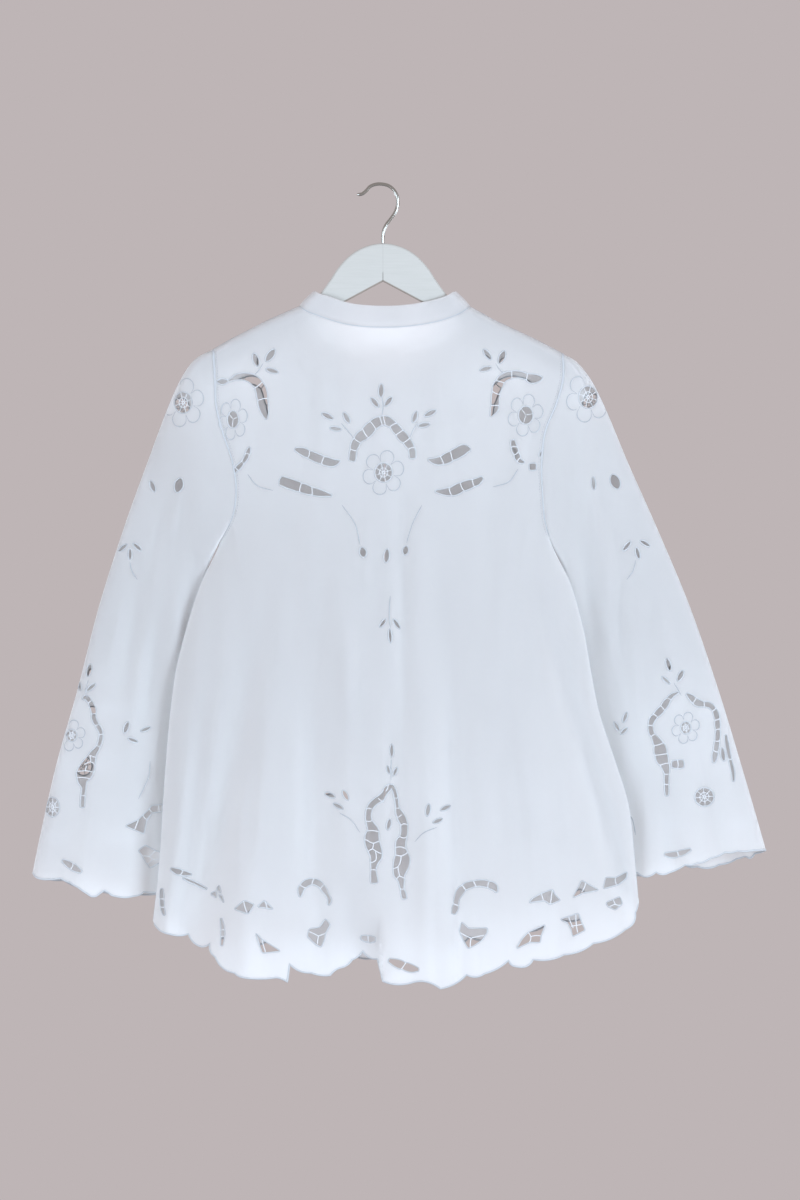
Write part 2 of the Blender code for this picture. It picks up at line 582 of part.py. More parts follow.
# Flat triangles between an outline, its cuts and the filling points
def triangulate(cloth, outline, cuts, filling):
    flat_outline = cloth.spread(outline)
    flat_cuts = [cloth.spread(cut) for cut in cuts]
    flat_filling = cloth.spread(filling)
    keep = inside(flat_filling, flat_outline)
    keep &= distance_to_loop(flat_filling, flat_outline) > CLEAR
    for cut in flat_cuts:
        keep &= ~inside(flat_filling, cut)
        keep &= distance_to_loop(flat_filling, cut) > CLEAR / 2
    loops = [flat_outline] + flat_cuts
    points = [Vector(point) for loop in loops for point in loop]
    at = np.concatenate([outline] + cuts + [filling[keep]])
    edges = []
    for loop in loops:
        first = len(edges)
        edges += [(first + i, first + (i + 1) % len(loop)) for i in range(len(loop))]
    points += [Vector(point) for point in flat_filling[keep]]
    result = delaunay_2d_cdt(points, edges, [], 0, 1e-7)
    flat = np.array([tuple(point) for point in result[0]])
    faces = np.array(result[2])
    middles = flat[faces].mean(axis=1)
    good = inside(middles, flat_outline)
    for cut in flat_cuts:
        good &= ~inside(middles, cut)
    source = np.array([ids[0] for ids in result[3]])
    return at, source[faces[good]]


# Closed wall with its middle on the given points
def close_wall(name, middle, offset, faces, material):
    used = sorted(set(int(i) for face in faces for i in face))
    index = {old: new for new, old in enumerate(used)}
    count = len(used)
    middle, offset = middle[used], offset[used]
    faces = [tuple(index[int(i)] for i in face) for face in faces]
    edges = {}
    for face in faces:
        for i in range(3):
            edges[(face[i], face[(i + 1) % 3])] = True
    rim = [edge for edge in edges if (edge[1], edge[0]) not in edges]
    solid = list(faces) + [tuple(i + count for i in reversed(face)) for face in faces]
    for start, end in rim:
        solid.append((end, start, start + count))
        solid.append((end, start + count, end + count))
    points = np.concatenate([middle + offset, middle - offset])
    corners = points[np.array(solid)]
    volume = np.einsum("ij,ij->", corners[:, 0], np.cross(corners[:, 1], corners[:, 2]))
    if volume < 0:
        solid = [tuple(reversed(face)) for face in solid]
    return add_mesh(name, points, solid, material)


# Points of a scalloped edge in the view; each scallop is part of a circle
def scallops(rows):
    points = [rows[0][:2]]
    for (x1, z1, _), (x2, z2, bulge) in zip(rows, rows[1:]):
        length = math.hypot(x2 - x1, z2 - z1)
        count = max(1, min(EDGE_PARTS, round(length / EDGE_STEP)))
        for i in range(1, count + 1):
            t = i / count
            push = bulge * 4 * t * (1 - t)
            points.append((x1 + (x2 - x1) * t + push * (z2 - z1) / length,
                           z1 + (z2 - z1) * t - push * (x2 - x1) / length))
    return points


# The same kind of edge worked out for a hidden piece, between two ends
def plain_scallops(start, end, drop):
    count = max(2, round(math.hypot(end[0] - start[0], end[1] - start[1]) / FRONT_SCALLOP))
    rows = []
    for i in range(count + 1):
        t = i / count
        rows.append((start[0] + (end[0] - start[0]) * t,
                     start[1] + (end[1] - start[1]) * t - drop * math.sin(math.pi * t / 2),
                     FRONT_SCALLOP_DEPTH if start[0] < end[0] else -FRONT_SCALLOP_DEPTH))
    return rows


def leaf_loop(x, z, length, width, tilt):
    angle = math.radians(tilt)
    loop = []
    for along, across in ((0.5, 0), (0.15, 0.5), (-0.2, 0.42), (-0.5, 0), (-0.2, -0.42), (0.15, -0.5)):
        up, right = along * length, across * width
        loop.append((x + right * math.cos(angle) + up * math.sin(angle),
                     z - right * math.sin(angle) + up * math.cos(angle)))
    return loop


def wheel_loop(x, z, half_width, half_height):
    return [(x + half_width * math.cos(math.pi * i / 4 + 0.39),
             z + half_height * math.sin(math.pi * i / 4 + 0.39)) for i in range(8)]


# Cells of a band: its two sides run beside the route, bars part the cells
def band_cells(cells, half_width, route):
    route = np.array(route, float)
    steps = np.concatenate([[0], np.cumsum(np.linalg.norm(np.diff(route, axis=0), axis=1))])
    length = steps[-1]

    def at(distance):
        point = np.array([follow(steps, route[:, i], distance) for i in (0, 1)])
        ahead = np.array([follow(steps, route[:, i], min(distance + 0.5, length)) for i in (0, 1)])
        behind = np.array([follow(steps, route[:, i], max(distance - 0.5, 0)) for i in (0, 1)])
        along = unit(ahead - behind)
        return point, np.array([-along[1], along[0]])

    loops = []
    for i in range(cells):
        start = length * i / cells + (BAR / 2 if i else 0)
        end = length * (i + 1) / cells - (BAR / 2 if i < cells - 1 else 0)
        near, far = [], []
        for distance in (start, end):
            point, across = at(distance)
            tip = 0.55 if distance in (0, length) else 1.0
            near.append(tuple(point + across * half_width * tip))
            far.append(tuple(point - across * half_width * tip))
        loops.append(near + far[::-1])
    return loops


# Cells of a shield: one for each corner, parted by bars from its middle
def shield_cells(corners):
    corners = np.array(corners, float)
    middle = corners.mean(axis=0)
    loops = []
    for i, corner in enumerate(corners):
        after = (corner + corners[(i + 1) % len(corners)]) / 2
        before = (corner + corners[i - 1]) / 2
        cell = np.array([corner, after, middle, before])
        centre = cell.mean(axis=0)
        reach = np.linalg.norm(cell - centre, axis=1, keepdims=True)
        inset = np.array([[0], [BAR], [BAR], [BAR]]) * 0.75
        loops.append([tuple(p) for p in centre + (cell - centre) * (1 - inset / reach)])
    return loops


def cut_loops(piece):
    loops = [leaf_loop(*row[1:]) for row in LEAVES if row[0] == piece]
    loops += [wheel_loop(*row[1:]) for row in WHEELS if row[0] == piece]
    for row in BANDS:
        if row[0] == piece:
            loops += band_cells(*row[1:])
    for row in SHIELDS:
        if row[0] == piece:
            loops += shield_cells(row[1])
    return loops


def to_pattern(cloth, view_points):
    view = np.array(view_points, float)
    return cloth.pattern(view[:, 0], view[:, 1])


# Collar: the neck seam's points, from the left front edge round to the right
def neck_points():
    left = [row for row in NECK_FRONT if row[0] < CENTRE_FRONT - 1]
    right = [row for row in NECK_FRONT if row[0] > CENTRE_FRONT + 1]
    low = NECK_FRONT[len(left)][1]
    left_view = [(CENTRE_FRONT - FRONT_GAP / 2, low)] + left[::-1]
    right_view = [(CENTRE_FRONT + FRONT_GAP / 2, low)] + right
    return left_view, right_view[::-1]


def collar_direction(point):
    lean = (point[0] - CENTRE_FRONT) / NECK_HALF
    tilt = COLLAR_LEAN_BACK if point[1] < 0 else COLLAR_LEAN_FRONT
    return unit(np.array([-lean ** 3, tilt * (1 - abs(lean)), 1.0]))


def build_collar(back, front, material):
    left_view, right_view = neck_points()
    spots = []
    for cloth, view in ((front, left_view[:-1]), (back, NECK_BACK), (front, right_view[1:])):
        at = to_pattern(cloth, view)
        spots += list(zip([cloth] * len(view), at, cloth.place(at[:, 0], at[:, 1])))
    feet = np.array([spot[2] for spot in spots])
    ups = np.array([collar_direction(foot) for foot in feet])
    along = unit(np.gradient(feet, axis=0))
    normals = unit(np.cross(along, ups))
    body_normals = np.array([
        cloth_normals(cloth, at[None, :], BODY_STEP, -FAR, FAR)[0] for cloth, at, _ in spots])
    outward = feet * np.array([1, 1, 0]) + np.array([0, 0, COLLAR_HEIGHT])
    body_normals *= np.sign(np.einsum("ij,ij->i", body_normals, outward))[:, None]
    if normals[len(feet) // 2][1] > 0:
        normals = -normals
    shared = unit(normals + body_normals)
    middle, offset = [], []
    for level in range(COLLAR_ROWS):
        share = level / (COLLAR_ROWS - 1)
        height = SEAM_GAP + (COLLAR_HEIGHT - SEAM_GAP) * share
        middle.append(feet + ups * height)
        offset.append((shared if level == 0 else normals) * COLLAR_WALL / 2)
    count = len(feet)
    faces = []
    for level in range(COLLAR_ROWS - 1):
        for i in range(count - 1):
            a = level * count + i
            faces += [(a, a + 1, a + 1 + count), (a, a + 1 + count, a + count)]
    close_wall("collar", np.concatenate(middle), np.concatenate(offset), faces, material)
    return feet, shared


# A panel's wall; seam directions that are shared with a neighbour replace its own
def build_panel(name, cloth, outline, filling, step, limits, seams, material):
    cuts = [to_pattern(cloth, loop) for loop in cut_loops(name)]
    at, faces = triangulate(cloth, outline, cuts, filling)
    middle = cloth.place(at[:, 0], at[:, 1])
    normals = cloth_normals(cloth, at, step, *limits)
    if normals[:, 1].sum() * cloth.side < 0:
        normals = -normals
    for i, (point, normal) in seams.items():
        middle[i] = point
        normals[i] = normal
    return close_wall(name, middle, normals * WALL / 2, faces, material)


def body_filling(cloth):
    shares = np.concatenate([[-0.985, -0.95], np.linspace(-0.91, 0.91, COLUMNS), [0.95, 0.985]])
    points = []
    for q in np.arange(-870, -150, DOWN):
        centre, wide = cloth.width(q + ROLL_SHIFT)
        points += [(wide * math.asin(share), q) for share in shares]
    return points


# Points on the roll over the hanger, as shares of the way down it
def roll_filling(cloth, columns):
    points = []
    for x in columns:
        for share in ROLL_ROWS:
            q = shoulder_height(x) - ROLL_END * share
            centre, wide = cloth.width(q + ROLL_SHIFT)
            points.append((float(wide * np.arcsin((x - centre) / wide)), float(q)))
    return points


def seam_table(points, shared, first):
    return {first + i: (point, normal) for i, (point, normal) in enumerate(zip(points, shared))}


# Directions shared by body and sleeve along an armhole
def armhole_shared(body, sleeve):
    x, z = armhole_view(sleeve.hand, ARM_SHARES)
    at = body.pattern(x, z)
    own = cloth_normals(body, at, BODY_STEP, -FAR, FAR)
    own *= np.sign(own[:, 1:2] * body.side + 1e-9)
    pattern = np.stack([np.full(len(ARM_SHARES), ARM_SEAM_STEP), ARM_SHARES], -1)
    other = cloth_normals(sleeve, pattern, (ARM_SEAM_STEP / 2, ARM_SEAM_STEP / 2), 0.0, 1.0)
    other *= np.sign(other[:, 1:2] * body.side + 1e-9)
    shared = unit(own + other)
    upright = np.array([0, body.side, 0.0])
    shared[-1] = upright
    shared[-2] = unit(shared[-2] + upright)
    shared[0] = unit(np.array(SEAM_TIP) * np.array([sleeve.hand, body.side, 1]))
    return shared


def build_back(back, neck, sleeves, material):
    feet, shared_neck = neck
    left_arm, right_arm = [armhole_point(back, hand, ARM_SHARES) for hand in (-1, 1)]
    shared_left, shared_right = [armhole_shared(back, sleeve) for sleeve in sleeves]
    arm_pattern = [to_pattern(back, np.stack(armhole_view(hand, ARM_SHARES), -1))
                   for hand in (-1, 1)]
    shoulder_left = [(x, float(shoulder_height(x))) for x in LEFT_ROLL[1::2]]
    shoulder_right = [(x, float(shoulder_height(x))) for x in RIGHT_ROLL[1::2]]
    hem = to_pattern(back, scallops(BACK_HEM)[1:-1])
    neck_pattern = to_pattern(back, NECK_BACK)
    parts = [
        arm_pattern[0][::-1], to_pattern(back, shoulder_left), neck_pattern,
        to_pattern(back, shoulder_right), arm_pattern[1],
        back.edge(1, SIDE_LEVELS), hem[::-1],
        back.edge(-1, SIDE_LEVELS + LEFT_SIDE_FOOT)[::-1],
    ]
    firsts = np.concatenate([[0], np.cumsum([len(part) for part in parts])])
    outline = np.concatenate(parts)
    seams = seam_table(left_arm[::-1], shared_left[::-1], 0)
    seams.update(seam_table(right_arm, shared_right, int(firsts[4])))
    neck_first = int(firsts[2])
    start = (len(feet) - len(NECK_BACK)) // 2
    for i in range(len(NECK_BACK)):
        seams[neck_first + i] = (feet[start + i], shared_neck[start + i])
    lap = [(LAP_X + dx, z) for dx in (-3, 0, 3) for z in LAP_LEVELS]
    roll = roll_filling(back, LEFT_ROLL + RIGHT_ROLL)
    filling = np.concatenate([body_filling(back), roll, to_pattern(back, lap)])
    build_panel("back", back, outline, filling, BODY_STEP, (-FAR, FAR), seams, material)


def build_front(name, hand, front, neck, sleeve, material):
    feet, shared_neck = neck
    arm = armhole_point(front, hand, ARM_SHARES)
    shared_arm = armhole_shared(front, sleeve)
    arm_pattern = to_pattern(front, np.stack(armhole_view(hand, ARM_SHARES), -1))
    left_view, right_view = neck_points()
    neck_view = left_view if hand < 0 else right_view[::-1]
    neck_pattern = to_pattern(front, neck_view)
    columns = LEFT_ROLL[::-1] if hand < 0 else RIGHT_ROLL
    shoulder = to_pattern(front, [(x, float(shoulder_height(x))) for x in columns[1::2]])
    edge_x = CENTRE_FRONT + hand * FRONT_GAP / 2
    side_end = BACK_HEM[0] if hand < 0 else BACK_HEM[-1]
    hem_view = scallops(plain_scallops(side_end[:2], (edge_x, FRONT_HEM_LOW + FRONT_HEM_DROP),
                                       FRONT_HEM_DROP))
    hem = to_pattern(front, hem_view[1:])
    centre = to_pattern(front, [(edge_x, z) for z in CENTRE_LEVELS])
    levels = SIDE_LEVELS + (LEFT_SIDE_FOOT if hand < 0 else ())
    parts = [neck_pattern, shoulder, arm_pattern, front.edge(hand, levels), hem, centre]
    firsts = np.concatenate([[0], np.cumsum([len(part) for part in parts])])
    outline = np.concatenate(parts)
    seams = seam_table(arm, shared_arm, int(firsts[2]))
    count = len(neck_view)
    for i in range(count):
        row = i if hand < 0 else len(feet) - 1 - i
        point, normal = feet[row].copy(), shared_neck[row]
        point[1] = abs(point[1])
        seams[i] = (point, normal)
    filling = np.concatenate([body_filling(front), roll_filling(front, columns)])
    build_panel(name, front, outline, filling, BODY_STEP, (-FAR, FAR), seams, material)


def build_sleeve(name, sleeve, cuff_view, material):
    seam_points = armhole_point(sleeve.body, sleeve.hand, ARM_SHARES)
    seam_points[:, 0] += sleeve.hand * SEAM_GAP
    shared = armhole_shared(sleeve.body, sleeve)
    cuff = to_pattern(sleeve, cuff_view)
    cuff[0, 1], cuff[-1, 1] = 0.0, 1.0
    top = np.stack([np.zeros(len(ARM_SHARES)), ARM_SHARES], -1)
    inner_edge = np.stack([SLEEVE_SIDE, np.ones(len(SLEEVE_SIDE))], -1)
    outer_edge = np.stack([SLEEVE_SIDE, np.zeros(len(SLEEVE_SIDE))], -1)
    outline = np.concatenate([top, inner_edge, cuff[::-1], outer_edge[::-1]])
    seams = seam_table(seam_points, shared, 0)
    shares = np.concatenate([[0.006], np.linspace(0.025, 0.985, SLEEVE_COLUMNS)])
    rounds = np.arccos(1 - 2 * shares) / math.pi
    filling = np.array([(d, r) for d in np.linspace(0.05, 0.95, SLEEVE_LEVELS) for r in rounds])
    build_panel(name, sleeve, outline, filling, SLEEVE_STEP, (0.0, 1.0), seams, material)


def arm_top(x):
    clearance = np.interp(abs(x), column(ARM_CLEARANCE, 0), column(ARM_CLEARANCE, 1))
    return float(shoulder_height(x) - clearance)


def build_hanger(material):
    tops = [(HANGER_MIDDLE + dx, z) for dx, z in HANGER_TOP]
    right = tops + [(x, arm_top(x)) for x in HANGER_ARM_RIGHT + (HANGER_RIGHT_END - 5,)]
    left = [(2 * HANGER_MIDDLE - x, z) for x, z in tops[1:]]
    left += [(x, arm_top(x)) for x in HANGER_ARM_LEFT + (HANGER_LEFT_END + 5,)]
    outline = left[::-1] + right
    for end, sign in ((HANGER_RIGHT_END, 1), (HANGER_LEFT_END, -1)):
        top = arm_top(end)
        tip = [(end, top - 5), (end, top - HANGER_END_HEIGHT + 5),
               (end - sign * 5, top - HANGER_END_HEIGHT + 1)]
        if sign > 0:
            outline += tip
        else:
            outline = tip[::-1] + outline
    outline.append((HANGER_MIDDLE, HANGER_UNDERSIDE))
    loop = np.array(outline)
    ahead, behind = np.roll(loop, -1, axis=0), np.roll(loop, 1, axis=0)
    along_in, along_out = unit(loop - behind), unit(ahead - loop)
    inward = np.stack([along_in[:, 1], -along_in[:, 0]], -1) + np.stack(
        [along_out[:, 1], -along_out[:, 0]], -1)
    half = np.maximum(np.linalg.norm(inward, axis=1, keepdims=True) / 2, 0.5)
    inset = loop + unit(inward) * HANGER_CHAMFER / half
    depth = HANGER_THICKNESS / 2
    layers = [(inset, -depth), (loop, -depth + HANGER_CHAMFER), (loop, depth - HANGER_CHAMFER),
              (inset, depth)]
    points = [(x, y, z) for ring, y in layers for x, z in ring]
    count = len(loop)
    faces = []
    for layer in range(3):
        for i in range(count):
            a, b = layer * count + i, layer * count + (i + 1) % count
            faces.append((a, b, b + count, a + count))
    result = delaunay_2d_cdt([Vector(p) for p in inset], [(i, (i + 1) % count) for i in range(count)],
                             [], 0, 1e-7)
    flat = np.array([tuple(p) for p in result[0]])
    caps = [face for face in result[2] if inside(flat[list(face)].mean(axis=0)[None, :], inset)[0]]
    origin = [ids[0] for ids in result[3]]
    caps = [tuple(origin[i] for i in face) for face in caps]
    faces += caps
    faces += [tuple(i + 3 * count for i in reversed(face)) for face in caps]
    thing = add_mesh("hanger_wood", points, faces, material)
    mesh = thing.data
    mesh.calc_loop_triangles()
    volume = 0.0
    for triangle in mesh.loop_triangles:
        a, b, c = [mesh.vertices[i].co for i in triangle.vertices]
        volume += a.dot(b.cross(c))
    if volume < 0:
        mesh.flip_normals()


def build_hook(material):
    route = np.array(HOOK_ROUTE, float)
    steps = np.concatenate([[0], np.cumsum(np.linalg.norm(np.diff(route, axis=0), axis=1))])
    shares = np.linspace(0, steps[-1], (len(route) - 1) * HOOK_STEPS + 1)
    line = np.stack([follow(steps, route[:, i], shares) for i in (0, 1)], -1)
    along = unit(np.gradient(line, axis=0))
    points, faces = [], []
    for i, ((x, z), (dx, dz)) in enumerate(zip(line, along)):
        radius = WIRE_RADIUS * (0.72 if i == 0 else 1.0)
        for side in range(HOOK_SIDES):
            angle = 2 * math.pi * side / HOOK_SIDES
            across = radius * math.cos(angle)
            points.append((x - dz * across, radius * math.sin(angle), z + dx * across))
    for i in range(len(line) - 1):
        for side in range(HOOK_SIDES):
            a = i * HOOK_SIDES + side
            b = i * HOOK_SIDES + (side + 1) % HOOK_SIDES
            faces.append((a, a + HOOK_SIDES, b + HOOK_SIDES, b))
    last = (len(line) - 1) * HOOK_SIDES
    faces.append(tuple(range(HOOK_SIDES)))
    faces.append(tuple(last + i for i in reversed(range(HOOK_SIDES))))
    thing = add_mesh("hanger_hook", points, faces, material)
    thing.data.shade_smooth()


def build_jacket():
    cloth = make_material("White cotton", (0.71, 0.73, 0.79), 0.85)
    wood = make_material("White lacquered wood", (0.72, 0.76, 0.75), 0.4)
    chrome = make_material("Chromed steel", (0.6, 0.6, 0.6), 0.12, 1.0)
    back = Body(BACK, BACK_FOLDS)
    front = Body(FRONT, FRONT_FOLDS)
    neck = build_collar(back, front, cloth)
    sleeves = {}
    for hand, rings, folds in ((-1, LEFT_RINGS, LEFT_SLEEVE_FOLDS),
                               (1, RIGHT_RINGS, RIGHT_SLEEVE_FOLDS)):
        sleeves[hand] = (Sleeve(BACK, hand, rings, folds, back),
                         Sleeve(FRONT, hand, rings, folds[::2], front))
    build_back(back, neck, (sleeves[-1][0], sleeves[1][0]), cloth)
    build_front("front_left", -1, front, neck, sleeves[-1][1], cloth)
    build_front("front_right", 1, front, neck, sleeves[1][1], cloth)
    left_cuff = scallops(LEFT_CUFF)
    right_cuff = scallops(RIGHT_CUFF)[::-1]
    build_sleeve("sleeve_left_back", sleeves[-1][0], left_cuff, cloth)
    build_sleeve("sleeve_right_back", sleeves[1][0], right_cuff, cloth)
    left_plain = scallops(plain_scallops(left_cuff[0], left_cuff[-1], 0))
    right_plain = scallops(plain_scallops(right_cuff[0], right_cuff[-1], 0))
    build_sleeve("sleeve_left_front", sleeves[-1][1], left_plain, cloth)
    build_sleeve("sleeve_right_front", sleeves[1][1], right_plain, cloth)
    build_hanger(wood)
    build_hook(chrome)


clear_scene()
build_jacket()
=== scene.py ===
# Cutwork tablecloth jacket on a white wooden hanger.
# Tables are in millimetres in the view of the back: x to the right, z up from the hook's inner top.
# Shapes are worked out in millimetres too, and turned into metres when a mesh is made.
import math

import bpy
import numpy as np
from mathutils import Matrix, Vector
from mathutils.geometry import delaunay_2d_cdt


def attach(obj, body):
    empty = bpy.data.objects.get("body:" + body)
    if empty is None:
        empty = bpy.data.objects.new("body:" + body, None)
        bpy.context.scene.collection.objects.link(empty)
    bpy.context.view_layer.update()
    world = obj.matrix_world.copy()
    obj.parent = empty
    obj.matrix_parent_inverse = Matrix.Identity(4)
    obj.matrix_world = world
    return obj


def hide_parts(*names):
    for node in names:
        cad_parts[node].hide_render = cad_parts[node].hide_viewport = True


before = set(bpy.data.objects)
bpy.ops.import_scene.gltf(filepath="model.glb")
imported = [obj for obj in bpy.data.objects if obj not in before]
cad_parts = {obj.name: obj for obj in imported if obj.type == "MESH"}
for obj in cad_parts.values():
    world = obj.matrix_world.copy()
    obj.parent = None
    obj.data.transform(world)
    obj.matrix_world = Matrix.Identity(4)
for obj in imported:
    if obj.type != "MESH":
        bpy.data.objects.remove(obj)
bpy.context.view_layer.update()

mm = 0.001

jacketForm = {
    "seamGap": 0.06,       # between sewn pieces
    "wall": 0.9,           # doubled, starched table linen
    "ridgeDrop": 9.4,      # the roll over the hanger: height and depth
    "ridgeDepth": 8.2,
    "underarm": -388,
    "underarmHalf": 0.9,
    "centreFront": 3,
    "frontGap": 0.8,
    "innerFlatness": 0.35,
    "seamFade": 0.3,
    # x, z
    "shoulderLine": ((-300, -330), (-250, -280), (-232, -237), (-222, -214), (-206, -192),
                     (-168, -170), (-125, -148), (-91, -133), (-60, -117), (0, -100), (62, -117),
                     (96, -133), (123, -148), (170, -170), (212, -192), (230, -214), (241, -236),
                     (260, -280), (320, -330)),
    # z, left edge, right edge, reach
    "bodyWidth": ((-900, -257, 284, 1.0), (-810, -252, 284, 1.0), (-785, -249, 282, 1.0),
                  (-730, -244, 277, 1.0), (-680, -241, 271, 1.0), (-635, -238, 257, 1.0),
                  (-580, -233, 239, 1.0), (-535, -227, 230, 1.0), (-490, -216, 222, 1.0),
                  (-440, -200, 208, 1.0), (-388, -177, 185, 1.0), (-350, -177, 184, 1.1),
                  (-300, -178, 186, 1.4), (-215, -184, 196, 2.6), (-90, -184, 198, 3.0)),
    # drop below the shoulder line, back, front
    "bodyDepth": ((0, 0, 0), (20, 1, 1), (60, 5, 5), (150, 14, 12), (300, 28, 24), (450, 38, 34),
                  (600, 46, 42), (800, 52, 48)),
    # z, left x, right x
    "armhole": ((-388, -177, 185), (-370, -167, 180), (-340, -161, 177), (-304, -165, 176),
                (-270, -176, 180), (-240, -183, 192), (-215, -184, 199), (-181, -186, 199)),
    # x, z
    "neckBack": ((-91, -133), (-88.5, -134.5), (-84, -137.5), (-70, -143), (-42, -152),
                 (1, -156), (42, -153), (72, -146), (89, -138.5), (94, -135), (97, -133.5)),
    "neckFront": ((-91, -133), (-89.5, -134.5), (-87, -141), (-80, -157), (-62, -187),
                  (-34, -208), (3, -216), (40, -208), (68, -187), (86, -157), (93, -141),
                  (95.5, -135), (97, -133.5)),
    # outer x, outer z, inner x, inner z, centre y, half depth
    "leftRings": ((-186, -181, -177.5, -388, 0, 17), (-206, -192, -185, -403, 1, 18),
                  (-222, -214, -194, -425, 5, 19), (-238, -250, -201, -455, 12, 18),
                  (-258, -303, -212, -500, 18, 16), (-284, -375, -224, -560, 20, 16),
                  (-312, -463, -230, -620, 21, 17), (-336, -556, -234, -680, 22, 19),
                  (-361, -645, -236, -735, 23, 21), (-386, -760, -240, -795, 24, 24),
                  (-391, -800, -242, -830, 24, 25)),
    "rightRings": ((199, -185, 185.5, -388, 0, 17), (214, -194, 192, -403, 1, 18),
                   (230, -214, 202, -425, 5, 19), (248, -250, 209, -455, 12, 18),
                   (271, -305, 218, -500, 18, 16), (303, -377, 229, -560, 20, 16),
                   (339, -463, 244, -615, 21, 17), (371, -556, 258, -665, 22, 19),
                   (398, -645, 268, -705, 23, 21), (424, -735, 270, -765, 24, 24),
                   (433, -775, 270, -795, 24, 25)),
    # the hem's lap: x, top, foot, depth, reach
    "lap": (-1.0, -800.0, -846.0, 12.0, 30.0),
    "lapEdge": 0.8,        # half the width over which the lap's edge falls away
    # folds grow to their full height over this drop, or this share of a sleeve, and fade at the sides
    "foldDrop": 120,
    "waveDrop": 200,
    "sideFade": 0.55,
    "sleeveFoldShare": 0.15,
    "sleeveSideFade": 0.6,
}
ridgeDrop = jacketForm["ridgeDrop"]
rollEnd = ridgeDrop * math.pi / 2
rollShift = ridgeDrop * (math.pi / 2 - 1)

# Scalloped edges: x and z of the end of each scallop, and how far it bulges
scallopedEdges = {
    "backHem": ((-252, -811, 0), (-234, -824, 3), (-213, -824, 2), (-198, -838, 3),
                (-189, -834, 1), (-183, -849, 3), (-162, -866, 4), (-152, -871, 1),
                (-116, -871, 1.5), (-104, -876, -1), (-101.5, -856, 0), (-78, -866, 3),
                (-57, -869, 1.5), (-47, -861, -1), (-33, -852, 2), (-21, -842, 1.5), (-5, -851, 3),
                (1, -875, 0), (34, -876, 3), (64, -883, -4), (93, -868, 3), (112, -867, 3), (139, -852, 2),
                (148, -859, 2), (166, -851, 4), (200, -846, 3), (232, -834, 3), (268, -819, 3),
                (279, -801, 4), (283, -783, 1)),
    "leftCuff": ((-385, -758, 0), (-377, -764, 1.5), (-367, -764.5, 0.5), (-354, -763, 0.5),
                 (-344, -767.5, 1), (-335, -773, 0.5), (-324, -780.5, 0.5), (-318, -783.5, 1),
                 (-312, -780.5, 1), (-307, -776, 0.5), (-301, -779.5, 0), (-294, -783, 1),
                 (-274, -783, 1.5), (-266, -781, 0.5), (-263.5, -778.5, 0), (-240, -778.5, 1)),
    "rightCuff": ((270, -758, 0), (282, -757, 1.5), (291, -762, 1), (302, -756.5, 1),
                  (317, -757, 2.5), (335, -748, 1), (347, -746.5, 1.5), (362, -741, 1.5),
                  (378, -734.5, 1), (392, -733, 1), (410, -732.4, 1), (425, -731.6, 0.5)),
    "leftFrontCuff": ((-385, -758, 0), (-352, -766, 3), (-318, -776, 3), (-284, -779, 3),
                      (-240, -779, 3)),
    "rightFrontCuff": ((270, -757, 0), (300, -757, 4), (335, -749, 3), (348, -751, 2),
                       (373, -749, 3), (392, -742.5, 1.5), (401, -739.5, 0.5), (406.5, -742, 0),
                       (411.5, -736.5, 1), (425, -731.8, 1)),
    "frontScallop": 44,
    "frontDepth": 9,
    "frontDrop": 22,
    "frontLow": -846,
}

# Folds: x and z of the top, x and z of the foot, half width, rise, and 1 where it runs to the hem
folds = {
    "back": ((-192, -412, -233, -753, 14, 4, 1), (-178, -456, -211, -710, 12, -6, 1),
             (-107, -357, -184, -720, 20, -13, 1), (-112, -500, -140, -726, 22, 9, 1),
             (-85, -368, -72, -753, 22, -14, 1), (-38, -440, -36, -640, 11, 6, 0),
             (20, -242, 25, -700, 9, -5, 0), (42, -440, 52, -800, 14, 8, 1),
             (69, -363, 80, -780, 14, -11, 1), (130, -400, 165, -640, 36, 10, 1),
             (137, -341, 240, -687, 15, -10, 1), (195, -470, 262, -700, 13, 5, 1),
             (-30, -735, -30, -850, 24, -20, 1)),
    "front": ((-150, -330, -196, -700, 18, -12, 1), (-110, -420, -130, -720, 24, 10, 1),
              (-70, -360, -62, -740, 18, -11, 1), (-20, -470, -24, -760, 14, 6, 1),
              (58, -350, 60, -740, 18, -12, 1), (100, -430, 120, -730, 24, 9, 1),
              (140, -340, 190, -700, 16, -11, 1)),
    "left": ((-261, -400, -292, -600, 11, -6, 0), (-246, -450, -266, -640, 9, -5, 0),
             (-222, -380, -232, -600, 12, 6, 0), (-300, -600, -330, -765, 18, 5, 1),
             (-262, -600, -256, -780, 14, -8, 1)),
    "right": ((212, -340, 258, -620, 12, -7, 0), (234, -350, 270, -520, 12, 5, 0),
              (256, -400, 268, -560, 9, -5, 0), (300, -620, 322, -745, 12, -5, 1),
              (350, -560, 380, -730, 20, 5, 1)),
}

